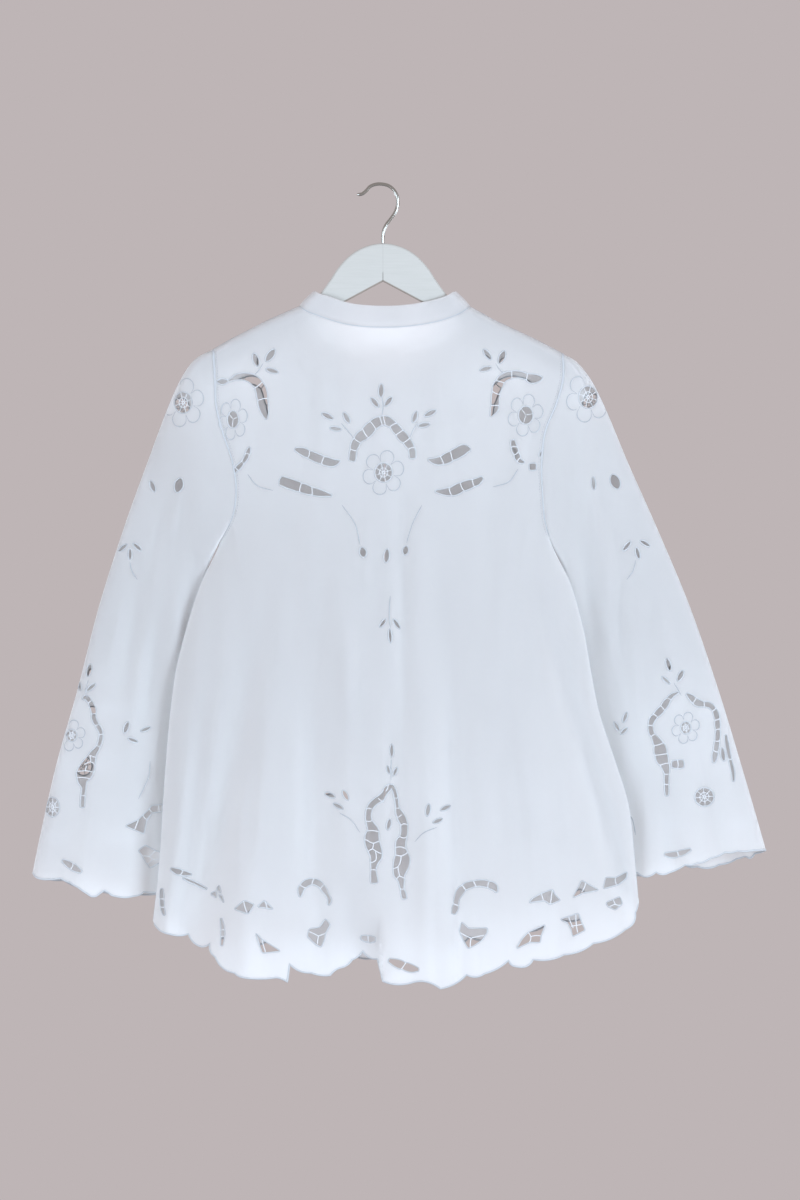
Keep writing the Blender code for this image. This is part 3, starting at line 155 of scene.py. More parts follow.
# Small creases laid over the folds: x and z of both ends, half width, rise, bow
creases = {
    "back": ((-150, -190, -158, -330, 7, 1.2, 4), (-175, -330, -150, -470, 6, 1.4, -5),
             (-60, -175, -64, -330, 8, 0.8, 3), (60, -180, 74, -340, 8, 0.8, -3),
             (150, -215, 146, -350, 7, 1.1, -4), (172, -330, 158, -470, 6, 1.4, 5),
             (-20, -330, -24, -470, 5, -0.9, 2), (2, -500, 4, -760, 4, 1.1, 1),
             (-128, -560, -150, -790, 7, -1.8, 3), (-98, -560, -96, -780, 6, 1.6, -2),
             (-54, -600, -48, -790, 7, -1.6, 2), (28, -560, 34, -790, 6, 1.3, -2),
             (104, -520, 122, -780, 9, 1.8, 4), (138, -560, 158, -800, 7, -1.7, -3),
             (196, -600, 222, -790, 8, 1.8, 4), (228, -620, 250, -800, 6, -1.5, -2),
             (-210, -600, -226, -800, 6, 1.4, 2), (-190, -640, -204, -810, 5, -1.2, -2)),
    "front": ((-140, -200, -150, -340, 7, 1.1, 4), (130, -205, 140, -340, 7, 1.1, -4),
              (-90, -520, -98, -780, 7, -1.5, 3), (84, -520, 92, -780, 7, -1.5, -3),
              (-160, -560, -180, -790, 7, 1.6, 2), (152, -560, 176, -790, 7, 1.6, -2)),
    "left": ((-214, -300, -236, -430, 6, 1.5, 4), (-236, -330, -262, -470, 5, -1.2, 3),
             (-280, -430, -304, -560, 6, 1.2, 3), (-266, -500, -284, -660, 6, 1.3, -3),
             (-244, -640, -250, -770, 5, 1.1, 2), (-320, -640, -340, -760, 6, -1.1, 2)),
    "right": ((222, -300, 240, -430, 6, 1.5, -4), (244, -330, 268, -470, 5, -1.2, -3),
              (300, -430, 322, -560, 6, 1.2, -3), (280, -500, 296, -660, 6, 1.3, 3),
              (286, -640, 292, -745, 5, 1.1, -2), (342, -600, 362, -730, 6, -1.1, -2)),
}


# Smooth curve through a table's rows
def follow(keys, values, at):
    keys = np.asarray(keys, float)
    values = np.asarray(values, float)
    at = np.asarray(at, float)
    slopes = np.gradient(values, keys)
    row = np.clip(np.searchsorted(keys, at) - 1, 0, len(keys) - 2)
    step = keys[row + 1] - keys[row]
    t = np.clip((at - keys[row]) / step, 0.0, 1.0)
    return ((2 * t ** 3 - 3 * t ** 2 + 1) * values[row] + (t ** 3 - 2 * t ** 2 + t) * step * slopes[row]
            + (t ** 3 - t ** 2) * step * slopes[row + 1] + (3 * t ** 2 - 2 * t ** 3) * values[row + 1])


def column(table, index):
    return [row[index] for row in table]


def ease(t):
    t = np.clip(t, 0.0, 1.0)
    return t * t * (3 - 2 * t)


def unit(vectors):
    length = np.linalg.norm(vectors, axis=-1, keepdims=True)
    return vectors / np.maximum(length, 1e-9)


def shoulderHeight(x):
    line = jacketForm["shoulderLine"]
    return np.interp(x, column(line, 0), column(line, 1))


def foldRise(rows, x, z):
    rise = np.zeros_like(x)
    for topX, topZ, footX, footZ, halfWidth, height, toHem in rows:
        t = (topZ - z) / (topZ - footZ)
        middle = topX + (footX - topX) * np.clip(t, 0.0, 1.35)
        strength = ease(t) if toHem else np.sin(math.pi * np.clip(t, 0.0, 1.0)) ** 2
        rise += height * strength * np.exp(-((x - middle) / halfWidth) ** 2)
    return rise


def creaseRise(rows, x, z):
    rise = np.zeros_like(x)
    for x1, z1, x2, z2, halfWidth, height, bow in rows:
        length = math.hypot(x2 - x1, z2 - z1)
        alongX, alongZ = (x2 - x1) / length, (z2 - z1) / length
        t = np.clip(((x - x1) * alongX + (z - z1) * alongZ) / length, 0.0, 1.0)
        off = (x - x1) * alongZ - (z - z1) * alongX - bow * 4 * t * (1 - t)
        rise += height * np.sin(math.pi * t) ** 2 * np.exp(-(off / halfWidth) ** 2)
    return rise


# least and most, in mm: length of a wave across and down the cloth, and its height
waves = {"count": 10, "across": (26, 90), "down": (180, 600), "height": (0.15, 0.4),
         "backSeed": 7, "frontSeed": 11, "sleeveSeed": 19}


# Slow unevenness of hung cloth: long waves, most of them upright
def softWaves(seed, x, z):
    chance = np.random.RandomState(seed)
    count = waves["count"]
    across = 2 * math.pi / chance.uniform(*waves["across"], count)
    down = 2 * math.pi / chance.uniform(*waves["down"], count) * chance.choice([-1, 1], count)
    height, start = chance.uniform(*waves["height"], count), chance.uniform(0, 6.28, count)
    rise = np.zeros_like(x)
    for i in range(count):
        rise += height[i] * np.sin(across[i] * x + down[i] * z + start[i])
    return rise


def lapRise(x, z):
    lapX, top, foot, depth, reach = jacketForm["lap"]
    strength = ease((top - z) / (top - foot))
    edge = jacketForm["lapEdge"]
    behind = ease((lapX + edge - x) / (2 * edge))
    return -depth * strength * behind * np.exp(-((x - lapX) / reach) ** 2)


# Body cloth: its pattern is a, sideways from the middle, and q, the height
class BodyCloth:
    scale = np.array([1.0, 1.0])

    def __init__(self, side, name):
        self.side = side
        self.name = name

    def width(self, level):
        table = jacketForm["bodyWidth"]
        left, right, reach = [follow(column(table, 0), column(table, i), level) for i in (1, 2, 3)]
        return (left + right) / 2, (right - left) / 2 * np.maximum(reach, 1.0)

    def place(self, a, q):
        level = q + rollShift
        centre, wide = self.width(level)
        x = centre + wide * np.sin(a / wide)
        pinch = np.cos(a / wide)
        ridge = shoulderHeight(x)
        drop = ridge - q
        roll = np.clip(drop / ridgeDrop, -0.4, math.pi / 2)
        z = np.where(drop < rollEnd, ridge - ridgeDrop * (1 - np.cos(roll)), level)
        table = jacketForm["bodyDepth"]
        depth = follow(column(table, 0), column(table, 1 if self.side < 0 else 2), drop)
        out = (jacketForm["ridgeDepth"] * np.sin(roll) + depth) * pinch
        rise = foldRise(folds[self.name], x, z) + creaseRise(creases[self.name], x, z)
        seed = waves["backSeed" if self.side < 0 else "frontSeed"]
        rise = rise + softWaves(seed, x, z) * ease(drop / jacketForm["waveDrop"])
        if self.side < 0:
            rise = rise + lapRise(x, z)
        out = out + rise * ease(pinch / jacketForm["sideFade"]) * ease(drop / jacketForm["foldDrop"])
        return np.stack([x, self.side * (jacketForm["seamGap"] / 2 + out), z], -1)

    def pattern(self, x, z):
        x = np.asarray(x, float)
        z = np.asarray(z, float)
        ridge = shoulderHeight(x)
        share = np.clip(1 - (ridge - z) / ridgeDrop, 0.0, 1.0)
        q = np.where(ridge - z < ridgeDrop, ridge - ridgeDrop * np.arccos(share), z - rollShift)
        centre, wide = self.width(q + rollShift)
        return np.stack([wide * np.arcsin(np.clip((x - centre) / wide, -1.0, 1.0)), q], -1)

    def edge(self, hand, z):
        q = np.asarray(z, float) - rollShift
        return np.stack([hand * self.width(q + rollShift)[1] * math.pi / 2, q], -1)


def armholeView(hand, share):
    table = jacketForm["armhole"]
    top = shoulderHeight(table[-1][1 if hand < 0 else 2])
    foot = jacketForm["underarm"]
    z = top + (foot - top) * (1 - np.cos(math.pi * np.asarray(share, float))) / 2
    return follow(column(table, 0), column(table, 1 if hand < 0 else 2), z), z


def armholePoint(body, hand, share):
    at = body.pattern(*armholeView(hand, share))
    point = body.place(at[..., 0], at[..., 1])
    half = jacketForm["seamGap"] / 2
    least = half + (jacketForm["underarmHalf"] - half) * ease((np.asarray(share) - 0.5) * 2)
    point[..., 1] = body.side * np.maximum(np.abs(point[..., 1]), least)
    return point


# Sleeve cloth: its pattern is the share down the sleeve and the share round it
class SleeveCloth:
    scale = np.array([640.0, 250.0])

    def __init__(self, side, hand, body):
        self.side = side
        self.hand = hand
        self.body = body
        self.name = "left" if hand < 0 else "right"
        self.rings = jacketForm[self.name + "Rings"]
        rows = folds[self.name]
        self.folds = rows if side < 0 else rows[::2]

    def ring(self, down, turn):
        keys = np.linspace(0.0, 1.0, len(self.rings))
        outerX, outerZ, innerX, innerZ, centre, half = [
            follow(keys, column(self.rings, i), down) for i in range(6)]
        t = (1 - np.cos(math.pi * turn)) / 2
        out = half * np.sin(math.pi * turn) * (1 - jacketForm["innerFlatness"] * turn)
        return np.stack([outerX + (innerX - outerX) * t,
                         centre + self.side * (jacketForm["seamGap"] / 2 + out),
                         outerZ + (innerZ - outerZ) * t], -1)

    def place(self, down, turn):
        down = np.asarray(down, float)
        turn = np.asarray(turn, float)
        point = self.ring(down, turn)
        start = self.ring(np.zeros_like(turn), turn)
        seam = armholePoint(self.body, self.hand, np.clip(turn, 0.0, 1.0))
        seam[..., 0] += self.hand * jacketForm["seamGap"]
        point = point + (seam - start) * (1 - ease(down / jacketForm["seamFade"]))[..., None]
        x, z = point[..., 0], point[..., 2]
        rise = foldRise(self.folds, x, z) + creaseRise(creases[self.name], x, z)
        rise = rise + softWaves(waves["sleeveSeed"] + self.side + self.hand * 5, x, z)
        rise = rise * ease(np.sin(math.pi * turn) / jacketForm["sleeveSideFade"])
        point[..., 1] += self.side * rise * ease(down / jacketForm["sleeveFoldShare"])
        return point

    # Where a point of the view lies on the cloth, by Newton's steps
    def pattern(self, x, z):
        x = np.atleast_1d(np.asarray(x, float))
        z = np.atleast_1d(np.asarray(z, float))
        down, turn = [grid.ravel() for grid in
                      np.meshgrid(np.linspace(0, 1, 41), np.linspace(0.02, 0.98, 25))]
        known = self.place(down, turn)
        near = np.argmin((known[:, 0] - x[:, None]) ** 2 + (known[:, 2] - z[:, None]) ** 2, axis=1)
        down, turn = down[near], turn[near]
        step = 1e-4
        for _ in range(10):
            here = self.place(down, turn)
            byDown = (self.place(down + step, turn) - here) / step
            byTurn = (self.place(down, turn + step) - here) / step
            missX, missZ = x - here[:, 0], z - here[:, 2]
            size = byDown[:, 0] * byTurn[:, 2] - byTurn[:, 0] * byDown[:, 2]
            size = np.where(np.abs(size) < 1e-6, 1e-6, size)
            down = down + np.clip((missX * byTurn[:, 2] - missZ * byTurn[:, 0]) / size, -0.08, 0.08)
            turn = turn + np.clip((missZ * byDown[:, 0] - missX * byDown[:, 2]) / size, -0.08, 0.08)
            down = np.clip(down, 0.0, 1.0)
            turn = np.clip(turn, 0.0, 1.0)
        return np.stack([down, turn], -1)

    # Pattern points where the sleeve meets its cuff line
    def cuff(self, line):
        turns = np.linspace(0, 1, 90)
        downs = np.linspace(0.7, 1.0, 240)
        order = np.argsort(column(line, 0))
        lineX, lineZ = np.array(line)[order].T
        result = []
        for turn in turns:
            path = self.place(downs, np.full(len(downs), turn))
            above = path[:, 2] - np.interp(path[:, 0], lineX, lineZ)
            last = int(np.argmax(above < 0)) if (above < 0).any() else len(downs) - 1
            mix = above[last - 1] / max(above[last - 1] - above[last], 1e-9)
            result.append((downs[last - 1] + (downs[last] - downs[last - 1]) * mix, turn))
        return np.array(result)


# Outward directions of a cloth at pattern points
def clothNormals(cloth, at):
    stepU, stepV = 0.4 / cloth.scale
    low, high = (-1e4, 1e4) if isinstance(cloth, BodyCloth) else (0.0, 1.0)
    ends = [np.clip(at + np.array(step), low, high)
            for step in ((-stepU, 0), (stepU, 0), (0, -stepV), (0, stepV))]
    before, after, below, above = [cloth.place(end[:, 0], end[:, 1]) for end in ends]
    normals = unit(np.cross(after - before, above - below))
    return -normals if normals[:, 1].sum() * cloth.side < 0 else normals


def toPattern(cloth, view):
    view = np.array(view, float)
    return cloth.pattern(view[:, 0], view[:, 1])


# Pattern points under several lines of the view, worked out together
def toPatterns(cloth, lines):
    if not lines:
        return []
    at = toPattern(cloth, np.concatenate(lines))
    return np.split(at, np.cumsum([len(line) for line in lines])[:-1])


# Places and outward directions on a cloth under several lines of the view
def onCloth(cloth, lines, lift=0.0):
    if not lines:
        return []
    at = toPattern(cloth, np.concatenate(lines))
    normals = clothNormals(cloth, at)
    points = cloth.place(at[:, 0], at[:, 1]) + normals * lift
    ends = np.cumsum([len(line) for line in lines])[:-1]
    return list(zip(np.split(points, ends), np.split(normals, ends)))


def smoothLine(points, step, closed=False):
    points = np.array(points, float)
    if closed:
        points = np.concatenate([points, points[:1]])
    length = np.concatenate([[0], np.cumsum(np.linalg.norm(np.diff(points, axis=0), axis=1))])
    at = np.linspace(0, length[-1], max(2, int(round(length[-1] / step)) + 1))
    line = np.stack([follow(length, points[:, i], at) for i in range(points.shape[1])], -1)
    return line[:-1] if closed else line


def straightLine(points, step):
    points = np.array(points, float)
    length = np.concatenate([[0], np.cumsum(np.linalg.norm(np.diff(points, axis=0), axis=1))])
    extra = np.linspace(0, length[-1], max(2, int(length[-1] / step) + 1))
    at = np.unique(np.concatenate([length, extra]))
    at = at[np.concatenate([[True], np.diff(at) > 0.2])]
    return np.stack([np.interp(at, length, points[:, i]) for i in range(points.shape[1])], -1)


def scallops(rows, step=2.4):
    points = [rows[0][:2]]
    for (x1, z1, _), (x2, z2, bulge) in zip(rows, rows[1:]):
        length = math.hypot(x2 - x1, z2 - z1)
        count = max(2, round(length / step))
        for i in range(1, count + 1):
            t = i / count
            push = bulge * 4 * t * (1 - t)
            points.append((x1 + (x2 - x1) * t + push * (z2 - z1) / length,
                           z1 + (z2 - z1) * t - push * (x2 - x1) / length))
    return points


def plainScallops(start, end, drop):
    width = scallopedEdges["frontScallop"]
    depth = scallopedEdges["frontDepth"]
    count = max(2, round(math.hypot(end[0] - start[0], end[1] - start[1]) / width))
    return [(start[0] + (end[0] - start[0]) * i / count,
             start[1] + (end[1] - start[1]) * i / count - drop * math.sin(math.pi * i / count / 2),
             depth if start[0] < end[0] else -depth) for i in range(count + 1)]


# Leaves: x, z, length, width, tilt from upright in degrees
leaves = {
    "back": ((-1, -226, 15, 5, 2), (-8, -239, 13, 4.6, -38), (7, -238, 12, 4.6, 38),
             (-60, -254, 14, 4.6, -64), (-39, -256, 13, 4.8, -28), (-51, -268, 13, 4.2, -82),
             (36, -255, 13, 4.4, 18), (53, -251, 14, 4.6, 64), (46, -264, 13, 4.2, 80),
             (-139, -192, 15, 6, -18), (-123, -187, 16, 6.4, 36), (-121, -204, 14, 4.6, -74),
             (116, -186, 14, 4.8, -36), (132, -189, 15, 6, 24), (114, -202, 13, 4.4, 76),
             (-21, -404, 11, 7, -10), (5, -408, 15, 5.4, 6), (26, -402, 10, 6, 10),
             (1, -482, 11, 3.4, 36), (16, -483, 13, 3.4, -33), (9, -496, 15, 3, -4),
             (10.7, -622, 14, 3.6, 0), (7, -643, 9, 2.8, -14), (14.5, -645, 10, 3.2, 25),
             (-40, -671, 12, 4.4, -28), (-57, -671, 12, 4.4, -70), (-48, -683, 12, 4, -62),
             (50.5, -687, 13.5, 4.4, 8), (69.5, -685, 12, 4, 66), (61, -699, 11, 4, 68),
             (7.5, -703, 12, 4.2, 12), (179, -292, 17, 5, 45)),
    "leftBack": ((-224, -330, 16, 9, 14), (-253, -331, 13, 4.6, -20), (-286, -399, 12, 3.6, 50),
                 (-278, -406, 12, 3.6, 0), (-270, -398, 12, 3.6, -50), (-323, -534, 14, 4.6, 14),
                 (-334, -551, 11, 3.6, -14), (-321, -553, 13, 3.6, 50), (-282, -597, 13, 4.6, 20),
                 (-275, -611, 11, 3.4, -70), (-261, -599, 12, 3.4, 68)),
    "rightBack": ((376, -627, 15, 4.2, -8), (257, -326, 17, 10, -22), (233, -328, 14, 4, -4),
                  (270, -397, 13, 3.6, 40), (282, -405, 13, 3.6, -14), (290, -394, 12, 3.6, -60),
                  (316, -528, 14, 4.4, -16),
                  (329, -540, 13, 4.6, 28), (313, -545, 12, 3, -48), (268, -586, 12, 3.6, 20),
                  (259, -596, 11, 3.4, -30), (267, -601, 10, 3.4, 46)),
    "frontLeft": ((-134, -196, 14, 5, -18), (-118, -192, 14, 5, 36), (-72, -520, 13, 4.4, -30),
                  (-60, -512, 14, 4.4, 0), (-48, -520, 13, 4.4, 30)),
    "frontRight": ((116, -192, 14, 5, -36), (132, -196, 14, 5, 22), (54, -520, 13, 4.4, -30),
                   (66, -512, 14, 4.4, 0), (78, -520, 13, 4.4, 30)),
    "leftFront": ((-322, -540, 14, 4.6, 0), (-308, -548, 13, 4.4, 40)),
    "rightFront": ((320, -536, 14, 4.6, 0), (334, -544, 13, 4.4, 40)),
}

# Needle-woven wheels: x, z, half width, half height, spokes, petals round it
wheels = {
    "back": ((1.6, -316.3, 9.3, 10.3, 8, 1), (-164, -257.7, 5.8, 9.3, 3, 1),
             (158.2, -253, 7.6, 9.6, 3, 1)),
    "leftBack": ((-219, -239, 9.4, 11.5, 8, 1), (-342.5, -606, 5.5, 6.5, 6, 1),
                 (-363.5, -685, 7.5, 10.4, 8, 0)),
    "rightBack": ((227, -233, 10, 12, 8, 1), (335, -597.4, 5.5, 6.6, 6, 1),
                  (355.4, -673.7, 10.2, 9.9, 8, 0)),
    "frontLeft": ((-120, -300, 9, 10, 8, 1),),
    "frontRight": ((126, -300, 9, 10, 8, 1),),
    "leftFront": ((-222, -245, 9, 11, 8, 1), (-330, -640, 9, 10, 8, 0)),
    "rightFront": ((231, -240, 9, 11, 8, 1), (345, -640, 9, 10, 8, 0)),
}

# Open bands: bars across it as shares of its length, and its route as x, z, half width
bands = {
    "back": (
        ((0.1, 0.2, 0.3, 0.41, 0.5, 0.53, 0.63, 0.72, 0.82, 0.91),
         ((-33, -303, 3.3), (-32, -295, 3.6), (-30, -286, 4.2), (-25, -278, 5), (-18, -273, 6),
          (-11, -265, 5.6), (-3, -260, 5.2), (3, -259, 5.2), (11, -263, 4.4), (17, -270, 4.6),
          (23, -277, 5.2), (29, -284, 4.2), (33, -292, 3.6), (33.5, -300, 3.2))),
        ((0.14, 0.56, 0.75),
         ((-182, -216, 0.6), (-176, -216, 3), (-169, -215, 1.2), (-160, -211, 2.8),
          (-151, -210.5, 3.8), (-143, -213, 4.8), (-136.4, -219, 5.4), (-133, -226, 5.6),
          (-131.6, -235, 5.6), (-130.5, -243, 5), (-129, -250, 3.8), (-127.4, -257, 1))),
        ((0.22, 0.5, 0.74),
         ((-146, -289, 1.2), (-148.5, -296, 2.6), (-151, -302, 1.8), (-155, -307, 2),
          (-160, -312, 2.8), (-164, -314, 3), (-167, -311, 1))),
        ((0.14, 0.3, 0.44, 0.62, 0.8),
         ((120, -254, 0.8), (124, -245, 4.2), (124.6, -236, 4), (125.6, -227.4, 4.4),
          (128.4, -219, 5), (134, -211.6, 4.4), (142, -208.6, 4), (150, -208, 3.4),
          (158, -210, 3.4), (165, -212.6, 4.8), (171.6, -212.4, 3.6), (176.4, -212, 0.8))),
        ((0.25, 0.5, 0.78),
         ((144, -281, 2), (145.5, -289, 3.4), (148, -296, 3), (151, -303, 2.6),
          (156, -305, 1))),
        ((0.3, 0.62),
         ((-95.5, -290.5, 1.4), (-87, -293.2, 4), (-79, -297, 4.4), (-69, -301.3, 4.5),
          (-60.4, -304.2, 4.4), (-53.5, -305.6, 3.8), (-47, -303.5, 0.9))),
        ((0.4, 0.62),
         ((-111.6, -325, 4.8), (-103, -328, 5.2), (-93, -331.4, 5.2), (-79, -336.2, 4.4),
          (-66.5, -339.2, 3.1), (-55.8, -341.4, 0.8))),
        ((0.32, 0.55),
         ((51, -302, 0.9), (59.2, -303.7, 3.4), (67.3, -302.4, 5), (75.4, -298.5, 5.6),
          (83.5, -294.4, 5.6), (91, -290.6, 4.9), (97, -291, 1.2))),
        ((0.3, 0.55, 0.8),
         ((59, -337, 0.8), (68, -337.5, 3.2), (77, -337, 4.9), (87, -332.5, 5.2),
          (97, -329, 4.6), (105, -326, 3.6), (110, -322, 1.8))),
        ((),
         ((-8.3, -766.6, 3.8), (-8.9, -760.7, 3.5), (-9.3, -754.2, 2.7), (-9.3, -749, 2.8),
          (-8.2, -743.2, 4.4), (-6.5, -737.3, 6.3), (-8.4, -729.5, 7.3), (-11, -721.7, 7.6),
          (-11, -716.4, 7.3), (-9.7, -709.9, 5.8), (-12.6, -703.4, 3.9), (-14.8, -696.9, 2.9),
          (-14.5, -689.1, 2.9), (-12.1, -682.6, 3.1), (-7.1, -677.6, 3.1), (-1.3, -674, 3.4),
          (2.6, -668.9, 2.4), (6.2, -663.6, 3.2), (10.2, -661.6, 2.4), (13.1, -665, 1.8),
          (15, -671.5, 1.7), (16.1, -677.4, 1.6), (17, -683.9, 1.7), (18.3, -689.1, 3),
          (21.5, -695.6, 4.2), (24.1, -702.1, 3.7), (24.5, -709.9, 3.5), (23.5, -716.4, 3.7),
          (20.6, -723, 5.1), (20.5, -729.5, 5.4), (21.5, -734.7, 6.5), (22.2, -739.9, 8.2),
          (21.3, -746.4, 8.4), (19.6, -752.9, 7.3), (19.2, -758.1, 5.8), (20.9, -763.3, 3.6),
          (21.5, -768.6, 2.3), (22.2, -773.8, 1.7), (23.5, -779, 2.5), (24.8, -784.2, 2.4))),
        ((0.2, 0.42, 0.62),
         ((-90, -782, 1), (-88.6, -773, 3.4), (-83.5, -768, 3.6), (-76.5, -766, 3.4),
          (-69, -768.5, 3.2), (-63.3, -775, 3), (-59.8, -781, 1.6), (-57.4, -786, 1.8),
          (-58.6, -791, 1))),
        ((0.14, 0.42, 0.6, 0.82),
         ((78.5, -801, 2), (80.4, -795.5, 3.4), (82, -786, 2.8), (85.5, -777.6, 4),
          (91.5, -771.5, 3.6), (100, -768.5, 3.4), (109, -767.5, 3.2), (117, -769, 3.8),
          (123, -771.5, 3.6), (126, -777, 1))),
        ((0.5,), ((8, -852, 2), (16, -855, 4.2), (25, -858.5, 4.4), (33, -861, 4), (40, -862, 1.6))),
        ((0.5,), ((-22.5, -827.5, 2), (-15, -829, 3.8), (-8, -829.5, 2.4))),
        ((0.5,), ((-232, -752.5, 1.4), (-225, -755.5, 3.2), (-217, -757.5, 2.4), (-210, -758.5, 0.7))),
        ((0.4, 0.7), ((-242.5, -775, 1.2), (-242.3, -782, 2.1), (-242, -789, 2.1), (-241.5, -796, 2),
                      (-239.5, -803, 1))),
        ((0.4, 0.7), ((-176.6, -807, 0.7), (-175, -816, 1.9), (-175, -826, 1.9), (-176, -836, 0.9))),
        ((), ((-219, -762.6, 0.6), (-211, -766, 1.3), (-203, -769.5, 1.3), (-193, -774.5, 0.7))),
    ),
    "leftBack": (
        ((0.08, 0.18, 0.28, 0.37, 0.46),
         ((-329.9, -565.6, 1.1), (-326.8, -563.9, 2.2), (-322.5, -568.2, 2.6), (-318.4, -577.6, 2.6),
          (-317.7, -587.3, 2.4), (-314.3, -594.3, 2.4), (-310.3, -601.5, 2), (-310.6, -611.2, 2),
          (-313.8, -619.5, 2.2), (-318.8, -626.4, 3.5), (-322.1, -634, 5.8), (-325.3, -641.6, 8),
          (-329, -649.9, 8), (-330.3, -656.4, 5), (-329, -663.3, 2.2), (-329.9, -672, 2),
          (-330.5, -684.6, 2.2))),
        ((0.5,), ((-352, -744, 1.4), (-342, -750, 3.8), (-332, -756, 1.6))),
    ),
    "rightBack": (
        ((0.1, 0.19, 0.28, 0.37, 0.46, 0.55, 0.64, 0.73, 0.82, 0.91),
         ((326, -558.5, 0.8), (319.6, -562, 2), (314.4, -568, 3), (310, -575, 3.5),
          (303.6, -582, 3.4), (298, -588.5, 2.9), (296.2, -595, 2.8), (297.4, -603, 2.7),
          (302.4, -611, 4), (306, -618, 6.2), (307.4, -625, 7), (309, -632, 6.4),
          (312, -639, 4.6), (313.8, -646, 3), (313.8, -654, 2.3), (314, -663, 2.2),
          (314.2, -672, 1.6))),
        ((0.5,), ((320.4, -637.6, 3.6), (326, -637.6, 4.6), (332, -637.2, 4.2))),
        ((0.12, 0.25, 0.38, 0.5, 0.62, 0.74, 0.86),
         ((336, -560, 1), (341, -564, 2.8), (347.4, -569.6, 3.8), (354, -571.4, 3.1),
          (361, -572.4, 2.8), (366.8, -578.6, 2.7), (369.3, -586, 2.8), (370, -595, 2.7),
          (370.4, -603, 2.5), (369.6, -611, 2.7), (368.6, -619, 2.6), (367.2, -627, 3),
          (366, -635.6, 1.2))),
        ((0.5,), ((379, -606, 1), (380.6, -616, 1.9), (382.4, -626, 1.7), (384.6, -636, 1.5),
                  (387, -646, 1.6), (387.6, -656, 0.9))),
        ((0.5,), ((312, -737, 1.4), (320, -737.6, 2.9), (330, -735.6, 2.9), (340, -731.6, 1.2))),
    ),
    "frontLeft": (
        ((0.25, 0.5, 0.75), ((-168, -226, 1.4), (-156, -217, 3.8), (-142, -214, 4), (-131, -220, 4.2),
                             (-125, -236, 4.2), (-122, -262, 1.4))),
        ((0.14, 0.28, 0.42, 0.56, 0.7, 0.84),
         ((-78, -716, 2), (-80, -700, 3.8), (-78, -684, 3.8), (-68, -671, 4), (-56, -666, 4),
          (-44, -671, 4), (-36, -684, 3.8), (-34, -700, 3.8), (-36, -716, 2))),
    ),
    "frontRight": (
        ((0.25, 0.5, 0.75), ((119, -262, 1.4), (121, -236, 4.2), (129, -220, 4.2), (141, -214, 4),
                             (156, -216, 3.8), (170, -225, 1.4))),
        ((0.14, 0.28, 0.42, 0.56, 0.7, 0.84),
         ((42, -716, 2), (40, -700, 3.8), (42, -684, 3.8), (52, -671, 4), (62, -666, 4),
          (74, -671, 4), (84, -684, 3.8), (86, -700, 3.8), (84, -716, 2))),
    ),
    "leftFront": (
        ((0.33, 0.66), ((-340, -590, 1.2), (-331, -581, 3.2), (-320, -578, 3.4), (-309, -585, 3.4),
                        (-302, -612, 1.2))),
    ),
    "rightFront": (
        ((0.33, 0.66), ((318, -612, 1.2), (323, -588, 3.4), (337, -578, 3.4), (349, -581, 3.2),
                        (358, -588, 1.2))),
    ),
}

# Branched bars in the widest parts of the bands
webs = {
    "back": (
        ((4, -666.7), (5.6, -664.3), (6.9, -659.1)), ((-4.3, -674.2), (-1.3, -677), (2.3, -678.9)),
        ((-16.8, -686), (-14.4, -685.2), (-11.2, -686.2)), ((-18, -698.9), (-14.2, -699.8), (-10.9, -698.7)),
        ((-15.6, -710.2), (-9.5, -709.7), (-3.5, -711.2)), ((-18.9, -719.1), (-9.1, -723.6), (-3, -721)),
        ((-9.1, -723.6), (-10.4, -730.1)), ((-16.2, -733.4), (-10.4, -730.1), (-7.1, -732.1)),
        ((-7.1, -732.1), (-0.6, -735.3)), ((-12.8, -745.4), (-7.1, -742.5), (-7.1, -732.1)),
        ((-12.3, -753.2), (-9.3, -752.4), (-6.3, -753.7)), ((13.9, -674.5), (17.8, -673.7)),
        ((15.3, -685.4), (18.9, -684.9)), ((17, -695.9), (21.5, -692.3)),
        ((20.2, -704.5), (24.1, -702.1), (28, -703.4)), ((19.6, -716.4), (24.1, -718), (27.6, -716.4)),
        ((15, -728.4), (20.2, -727.5), (26, -729.5)), ((14.6, -736.2), (20.9, -737.6), (29, -733.4)),
        ((20.9, -737.6), (20.5, -742.5), (17.4, -749.3), (12, -751.9)), ((17.4, -749.3), (19.2, -759.7)),
        ((15.4, -764), (19.2, -759.7), (25.2, -762.7)), ((19.8, -774), (24.4, -773.8)),
    ),
    "leftBack": (
        ((-322.9, -627.7), (-315.6, -630.3)), ((-328.4, -637.7), (-321, -635.1), (-315.6, -639.4)),
        ((-321, -635.1), (-322.1, -628.6)), ((-335.6, -645.5), (-327.5, -644.9), (-317.3, -646.4)),
        ((-327.5, -644.9), (-326, -639.4)), ((-336, -652.5), (-328.1, -652.5), (-322, -653.8)),
        ((-332, -672.4), (-327.4, -672.4)),
    ),
}

